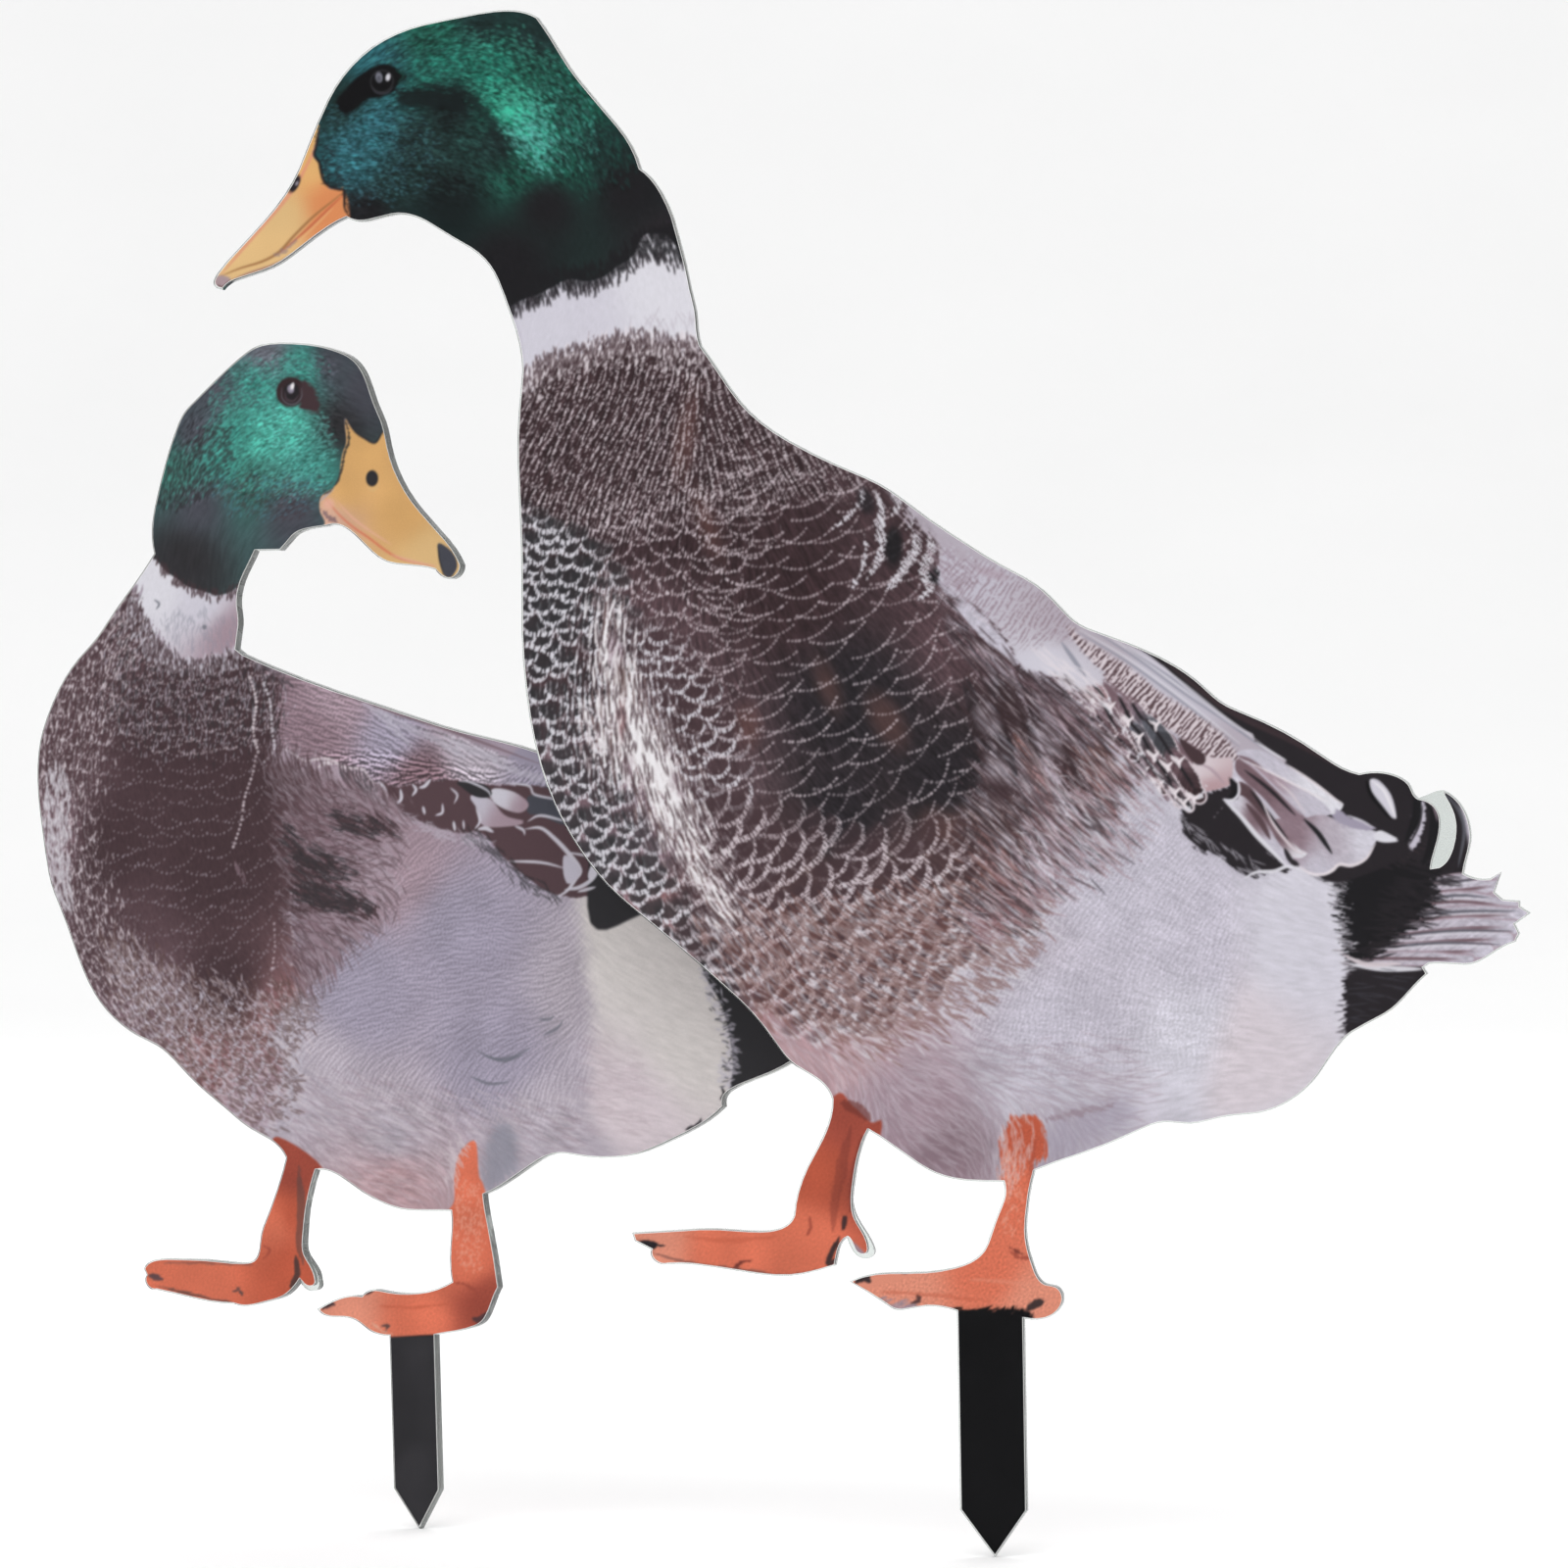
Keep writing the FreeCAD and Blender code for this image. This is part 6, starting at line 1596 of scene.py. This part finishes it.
def small_spike(p):
    """The black spike, painted paler than the large one: a painted reflection of light off the small duck's
    turned sheet.
    """
    # JET instead of BLACK: painted reflection that lifts the spike's black.
    part, mask = p.fill([(-11.1, 40.8), (7.4, 41.4), (7.4, -7.9), (-11.1, -8.7)], JET, 0.4)
    p.grain((part, mask), p.clouds, 0.04)
    p.line([(-6.9, 40.9), (4.6, 41.3)], 1.2, INK, 0.9, taper=False)


def small_picture(low, high):
    """The small duck's picture, painted from the body outwards."""
    p = Picture(low, high, SMALL_FLOW, seed=5)
    for paint in (small_body, small_tail, small_wing, small_breast, small_tufts, small_ring,
                  small_head, small_bill, small_eye, small_spike, small_legs):
        paint(p)
    return p



# ---- From a picture to pieces: each print is a thin closed slab, cut into named tracts.

FRONT_STEP = 0.25       # side of a mesh square on the front, mm
BACK_STEP = 0.4
FLAT = 0.02             # how far a corner may be from a layer's outer face, mm


class Sheet:
    """The plane of one duck's sheet: x runs along it from the spike and z runs up, in mm."""

    def __init__(self, name):
        mount = next(m for m in frame["record"]["mounts"] if m["name"] == name + "_spike")
        self.foot = np.array(mount["pos_m"])
        faces = frame["nodes"][name + "_duck_front_print"].data.polygons
        widest = np.array(max(faces, key=lambda face: face.area).normal)
        self.front = -np.sign(widest[1]) * widest
        self.along = np.array([-self.front[1], self.front[0], 0.0])

    def flat(self, node):
        """x, z and the distance in front of the spike, for each corner of a CAD node."""
        corners = np.array([v.co for v in frame["nodes"][node].data.vertices])
        away = (corners - self.foot) / MM
        return np.stack([away @ self.along, away[:, 2], away @ self.front], 1)

    def space(self, x, z, out):
        """Places in the frame, in metres."""
        up = np.array([0.0, 0.0, 1.0])
        away = x[:, None] * self.along + z[:, None] * up + out * self.front
        return self.foot + away * MM


def rim_of(node, sheet, side):
    """The straight pieces of line round the seen face of a printed layer: starts and ends."""
    corners = sheet.flat(node)
    outer = (side * corners[:, 2]).max()
    spots = [tuple(spot) for spot in corners[:, :2].round(5)]
    edges = set()
    for face in frame["nodes"][node].data.polygons:
        ring = list(face.vertices)
        if (side * corners[ring, 2]).min() < outer - FLAT:
            continue
        for a, b in zip(ring, ring[1:] + ring[:1]):
            if (spots[b], spots[a]) in edges:
                edges.remove((spots[b], spots[a]))
            else:
                edges.add((spots[a], spots[b]))
    starts, ends = {start for start, _ in edges}, {end for _, end in edges}
    for end in ends - starts:
        edges.add((end, min(starts - ends, key=lambda start: math.dist(start, end))))
    return np.array(sorted(edges))


def inside_of(rim, x, z):
    """Which of a grid's places are inside a rim."""
    inside = np.zeros((len(z), len(x)), bool)
    for (ax, az), (bx, bz) in rim:
        rows = (z < az) != (z < bz)
        if rows.any():
            cross = ax + (z[rows] - az) * (bx - ax) / (bz - az)
            inside[rows] ^= x[None, :] < cross[:, None]
    return inside


def snapped(points, rim):
    """Each point moved to the nearest place on a rim."""
    nearest = np.full(len(points), np.inf)
    moved = points.copy()
    for start, end in rim:
        way = end - start
        share = np.clip((points - start) @ way / (way @ way), 0, 1)
        place = start + share[:, None] * way
        away = ((points - place) ** 2).sum(1)
        closer = away < nearest
        moved[closer] = place[closer]
        nearest[closer] = away[closer]
    return moved


def loops_round(cells):
    """The closed rings of grid nodes round a set of grid squares, anticlockwise."""
    row, col = np.nonzero(cells)
    padded = np.pad(cells, 1)
    a = row * (cells.shape[1] + 1) + col
    b, d = a + 1, a + cells.shape[1] + 1
    c = d + 1
    following = {}
    for down, right, starts, ends in ((-1, 0, a, b), (0, 1, b, c), (1, 0, c, d), (0, -1, d, a)):
        open_side = ~padded[row + 1 + down, col + 1 + right]
        for start, end in zip(starts[open_side].tolist(), ends[open_side].tolist()):
            following.setdefault(start, []).append(end)
    loops = []
    while following:
        loop = [next(iter(following))]
        while len(loop) == 1 or loop[-1] != loop[0]:
            ends = following[loop[-1]]
            step = ends.pop()
            if not ends:
                del following[loop[-1]]
            loop.append(step)
        loops.append(loop[:-1])
    return np.stack([a, b, c, d], 1), loops


def slab(name, cells, places, colours, sheet, outs, side):
    """A closed piece: the seen face in small squares, its walls, and plain hidden faces."""
    quads, loops = loops_round(cells)
    nodes, index = np.unique(quads, return_inverse=True)
    faces = index.reshape(-1, 4)[:, ::side].tolist()
    number = dict(zip(nodes.tolist(), range(len(nodes))))
    hidden = [node for loop in loops for node in loop]
    first = len(nodes)
    for loop in loops:
        seen = [number[node] for node in loop]
        back = list(range(first, first + len(loop)))
        first += len(loop)
        turned = [seen[1:] + seen[:1], seen, back, back[1:] + back[:1]]
        faces += [list(wall)[::side] for wall in zip(*turned)]
        faces.append(back[::-side])
    x, z = places[nodes].T
    hidden_x, hidden_z = places[hidden].T
    corners = np.concatenate([sheet.space(x, z, outs[0]),
                              sheet.space(hidden_x, hidden_z, outs[1])])
    mesh = bpy.data.meshes.new(name)
    mesh.from_pydata(corners.tolist(), [], faces)
    paint = mesh.color_attributes.new("print", "FLOAT_COLOR", "POINT")
    shades = np.ones((len(corners), 4), np.float32)
    shades[:, :3] = colours[np.concatenate([nodes, hidden]).astype(int)]
    paint.data.foreach_set("color", shades.ravel())
    piece = bpy.data.objects.new(name, mesh)
    bpy.context.scene.collection.objects.link(piece)
    return piece


def linear(colour):
    """Scene-linear values of screen colours."""
    return np.where(colour > 0.04045, ((colour + 0.055) / 1.055) ** 2.4, colour / 12.92)


def sampled(picture, x, z):
    """The picture's colours at a grid of places, in scene-linear values."""
    field = softened(picture.colour)
    for axis, own, wanted in ((0, picture.z, z), (1, picture.x, x)):
        at = np.interp(wanted, own, np.arange(len(own)))
        low = np.minimum(at.astype(int), len(own) - 2)
        share = np.expand_dims(at - low, (1 - axis, 2)).astype(np.float32)
        field = np.take(field, low, axis) * (1 - share) + np.take(field, low + 1, axis) * share
    return linear(field.clip(0, 1)).reshape(-1, 3)


def lay_print(duck, layer, sheet, picture, tracts, material):
    """The pieces that stand for one printed layer."""
    side, step = (1, FRONT_STEP) if layer == "front" else (-1, BACK_STEP)
    node = f"{duck}_duck_{layer}_print"
    rim = rim_of(node, sheet, side)
    outs = sorted(set(sheet.flat(node)[:, 2].round(3)), key=lambda out: -side * out)
    x = np.arange(picture.x[0], picture.x[-1], step)
    z = np.arange(picture.z[0], picture.z[-1], step)
    half = (x[1] - x[0]) / 2
    cells = inside_of(rim, x[:-1] + half, z[:-1] + half)
    edge = np.pad(cells, 1)
    corner = np.stack([edge[1:, 1:], edge[:-1, 1:], edge[1:, :-1], edge[:-1, :-1]])
    on_edge = (corner.any(0) & ~corner.all(0)).ravel()
    places = np.stack(np.meshgrid(x, z), -1).reshape(-1, 2)
    places[on_edge] = snapped(places[on_edge], rim)
    colours = sampled(picture, x, z)
    away = [(x[None, :-1] + half - tx) ** 2 + (z[:-1, None] + half - tz) ** 2
            for _, tx, tz in tracts]
    nearest = np.argmin(away, 0)
    names = [name for name, _, _ in tracts]
    for name in dict.fromkeys(names):
        mine = np.isin(nearest, [i for i, other in enumerate(names) if other == name])
        piece = slab(f"{node}_{name}", cells & mine, places, colours, sheet,
                     (outs[0], outs[-1]), side)
        piece.data.materials.append(material)
        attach(piece, duck + "_duck")
        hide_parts(node)


# ---- Materials.

def plain_material(name, **settings):
    """A new material, its node tree and its shader with these values set."""
    material = bpy.data.materials.new(name)
    material.use_nodes = True
    shader = material.node_tree.nodes["Principled BSDF"]
    for socket, value in settings.items():
        shader.inputs[socket.replace("_", " ")].default_value = value
    return material, material.node_tree, shader


def noise(tree, scale, detail=3.0):
    """A noise texture in the object's own space. scale: how many bumps to a metre."""
    place = tree.nodes.new("ShaderNodeTexCoord")
    texture = tree.nodes.new("ShaderNodeTexNoise")
    texture.inputs["Scale"].default_value = scale
    texture.inputs["Detail"].default_value = detail
    tree.links.new(place.outputs["Object"], texture.inputs["Vector"])
    return texture.outputs["Fac"]


def ramp(tree, value, low, high):
    """Colours from low to high as a value goes from 0.3 to 0.7."""
    node = tree.nodes.new("ShaderNodeValToRGB")
    node.color_ramp.elements[0].position = 0.3
    node.color_ramp.elements[1].position = 0.7
    node.color_ramp.elements[0].color = (*low, 1)
    node.color_ramp.elements[1].color = (*high, 1)
    tree.links.new(value, node.inputs["Fac"])
    return node.outputs["Color"]


def bump(tree, shader, value, depth):
    """A fine relief of that depth in metres."""
    node = tree.nodes.new("ShaderNodeBump")
    node.inputs["Strength"].default_value = 0.3
    node.inputs["Distance"].default_value = depth
    tree.links.new(value, node.inputs["Height"])
    tree.links.new(node.outputs["Normal"], shader.inputs["Normal"])


def print_material():
    """Ink in the picture's colours, with the fine grain of printed dots."""
    material, tree, shader = plain_material(
        "colour_print", Roughness=0.4, Specular_IOR_Level=0.08)
    paint = tree.nodes.new("ShaderNodeVertexColor")
    paint.layer_name = "print"
    mix = tree.nodes.new("ShaderNodeMix")
    mix.data_type = "RGBA"
    mix.blend_type = "MULTIPLY"
    mix.inputs["Factor"].default_value = 1.0
    tree.links.new(paint.outputs["Color"], mix.inputs["A"])
    grain = noise(tree, 5000.0, 1.0)
    tree.links.new(ramp(tree, grain, (0.79, 0.79, 0.79), (0.85, 0.85, 0.85)), mix.inputs["B"])
    tree.links.new(mix.outputs["Result"], shader.inputs["Base Color"])
    bump(tree, shader, noise(tree, 900.0), 0.00002)
    return material


def base_material():
    """The white ink under the picture."""
    material, tree, shader = plain_material("white_ink", Roughness=0.45)
    cloud = noise(tree, 60.0)
    tree.links.new(ramp(tree, cloud, (0.83, 0.83, 0.82), (0.88, 0.88, 0.87)),
                   shader.inputs["Base Color"])
    return material


def acrylic_material():
    """Clear acrylic, whose cut edges look grey-green."""
    material, tree, shader = plain_material(
        "clear_acrylic", Roughness=0.05, IOR=1.49, Transmission_Weight=0.9)
    cloud = noise(tree, 25.0)
    tree.links.new(ramp(tree, cloud, (0.66, 0.70, 0.68), (0.74, 0.78, 0.76)),
                   shader.inputs["Base Color"])
    return material


def floor_material():
    """The pale, matt floor."""
    material, tree, shader = plain_material("floor", Roughness=0.9, Specular_IOR_Level=0.1)
    tree.links.new(ramp(tree, noise(tree, 3.0), (0.94, 0.94, 0.94), (0.96, 0.96, 0.96)),
                   shader.inputs["Base Color"])
    return material


# ---- The stage, the lights and the camera.

STAGE_RADIUS = 3.2      # flat floor
STAGE_CURVE = 3.0       # from the floor up into the wall
STAGE_TOP = 3.2
STAGE_SIDES = 96
AIM = Vector((-0.0435, 0.0, 0.157))
CAMERA_AZIMUTH = 10     # degrees to the right of straight ahead
CAMERA_AWAY = 1.5
LENS = 168.75           # mm, on a sensor 36 mm wide


def make_stage():
    """A pale round floor that curves up into a wall."""
    turns = np.linspace(0, math.pi / 2, 9)
    profile = [(0.0, 0.0)]
    profile += [(STAGE_RADIUS + STAGE_CURVE * math.sin(t), STAGE_CURVE * (1 - math.cos(t)))
                for t in turns]
    profile.append((STAGE_RADIUS + STAGE_CURVE, STAGE_TOP))
    corners = [(0.0, 0.0, 0.0)]
    for radius, z in profile[1:]:
        for k in range(STAGE_SIDES):
            angle = 2 * math.pi * k / STAGE_SIDES
            corners.append((radius * math.cos(angle), radius * math.sin(angle), z))
    faces = [(0, 1 + k, 1 + (k + 1) % STAGE_SIDES) for k in range(STAGE_SIDES)]
    for ring in range(len(profile) - 2):
        start = 1 + ring * STAGE_SIDES
        for k in range(STAGE_SIDES):
            after = (k + 1) % STAGE_SIDES
            faces.append((start + k, start + STAGE_SIDES + k,
                          start + STAGE_SIDES + after, start + after))
    mesh = bpy.data.meshes.new("floor")
    mesh.from_pydata(corners, [], faces)
    mesh.shade_smooth()
    mesh.materials.append(floor_material())
    floor = bpy.data.objects.new("floor", mesh)
    bpy.context.scene.collection.objects.link(floor)


def make_light(name, azimuth, elevation, distance, size, power):
    """A soft square light that looks at the ducks."""
    light = bpy.data.lights.new(name, "AREA")
    light.size = size
    light.energy = power
    holder = bpy.data.objects.new(name, light)
    bpy.context.scene.collection.objects.link(holder)
    a, e = math.radians(azimuth), math.radians(elevation)
    back = Vector((math.sin(a) * math.cos(e), -math.cos(a) * math.cos(e), math.sin(e)))
    holder.location = AIM + distance * back
    holder.rotation_mode = "QUATERNION"
    holder.rotation_quaternion = (-back).to_track_quat("-Z", "Y")


def make_lights():
    """An even white world and three soft lights."""
    world = bpy.data.worlds.new("studio")
    bpy.context.scene.world = world
    world.use_nodes = True
    world.node_tree.nodes["Background"].inputs["Color"].default_value = (1, 1, 1, 1)
    world.node_tree.nodes["Background"].inputs["Strength"].default_value = 0.95
    make_light("key", -5, 50, 3.0, 1.6, 20)
    make_light("fill", 60, 45, 3.0, 1.8, 6)
    make_light("back", 180, 55, 3.0, 1.8, 16)


def make_camera():
    """The camera, level with the middle of the ducks."""
    camera = bpy.data.cameras.new("camera")
    camera.lens = LENS
    holder = bpy.data.objects.new("camera", camera)
    bpy.context.scene.collection.objects.link(holder)
    a = math.radians(CAMERA_AZIMUTH)
    back = Vector((math.sin(a), -math.cos(a), 0.0))
    holder.location = AIM + CAMERA_AWAY * back
    holder.rotation_mode = "QUATERNION"
    holder.rotation_quaternion = (-back).to_track_quat("-Z", "Y")
    bpy.context.scene.camera = holder
    bpy.context.scene.view_settings.view_transform = "Standard"


# ---- The ducks.

LARGE_TRACTS = [
    ("head", -113, 294), ("head", -93, 276), ("bill", -155, 272), ("bill", -146, 278),
    ("ring", -80, 257), ("ring", -64, 257), ("ring", -97, 248), ("breast", -84, 227),
    ("breast", -84, 177), ("breast", -74, 141), ("back", -44, 205), ("back", -19, 205),
    ("back", 1, 189), ("breast", -33, 167), ("belly", -35, 129), ("belly", -3, 105),
    ("wing", 27, 173), ("wing", 43, 159), ("wing", 63, 151), ("flank", 13, 137), ("flank", 33, 117),
    ("rump", 57, 114), ("rump", 65, 131), ("tail", 87, 137), ("tail", 83, 120), ("tail", 96, 129),
    ("tail", 88, 151), ("far_leg", -31, 79), ("far_leg", -33, 65), ("far_leg", -64, 63),
    ("near_leg", 5, 73), ("near_leg", -7, 55), ("near_leg", 7, 56), ("spike", -1, 28),
    ("spike", -1, 42)]
SMALL_TRACTS = [
    ("head", -32, 236), ("head", -49, 220), ("bill", -6, 215), ("bill", -11, 225),
    ("ring", -56, 195), ("ring", -65, 195), ("ring", -45, 190), ("breast", -68, 174),
    ("breast", -73, 136), ("breast", -63, 115), ("back", -6, 169), ("back", -23, 157),
    ("wing", 17, 161), ("wing", 30, 145), ("wing", 5, 151), ("flank", -2, 116), ("flank", 30, 108),
    ("belly", -30, 90), ("belly", 17, 85), ("rump", 53, 116), ("rump", 48, 96), ("tail", 73, 104),
    ("tail", 84, 117), ("far_leg", -30, 63), ("far_leg", -53, 50), ("near_leg", 13, 71),
    ("near_leg", 12, 48), ("near_leg", -11, 44), ("spike", 7, 23)]


def corners_of(sheet, node):
    """The lowest and the highest x and z of a layer."""
    corners = sheet.flat(node)[:, :2]
    return corners.min(0), corners.max(0)


def make_duck(name, paint, tracts, ink):
    """Both printed pictures of one duck."""
    sheet = Sheet(name)
    picture = paint(*corners_of(sheet, name + "_duck_front_print"))
    for layer in ("front", "back"):
        lay_print(name, layer, sheet, picture, tracts, ink)


def make_ducks():
    """The prints of both ducks, and the materials of the CAD nodes that stay."""
    ink = print_material()
    make_duck("large", large_picture, LARGE_TRACTS, ink)
    make_duck("small", small_picture, SMALL_TRACTS, ink)
    base, acrylic = base_material(), acrylic_material()
    for name, node in frame["nodes"].items():
        node.data.materials.clear()
        node.data.materials.append(acrylic if name.endswith("_blank") else base)


make_ducks()
make_stage()
make_lights()
make_camera()
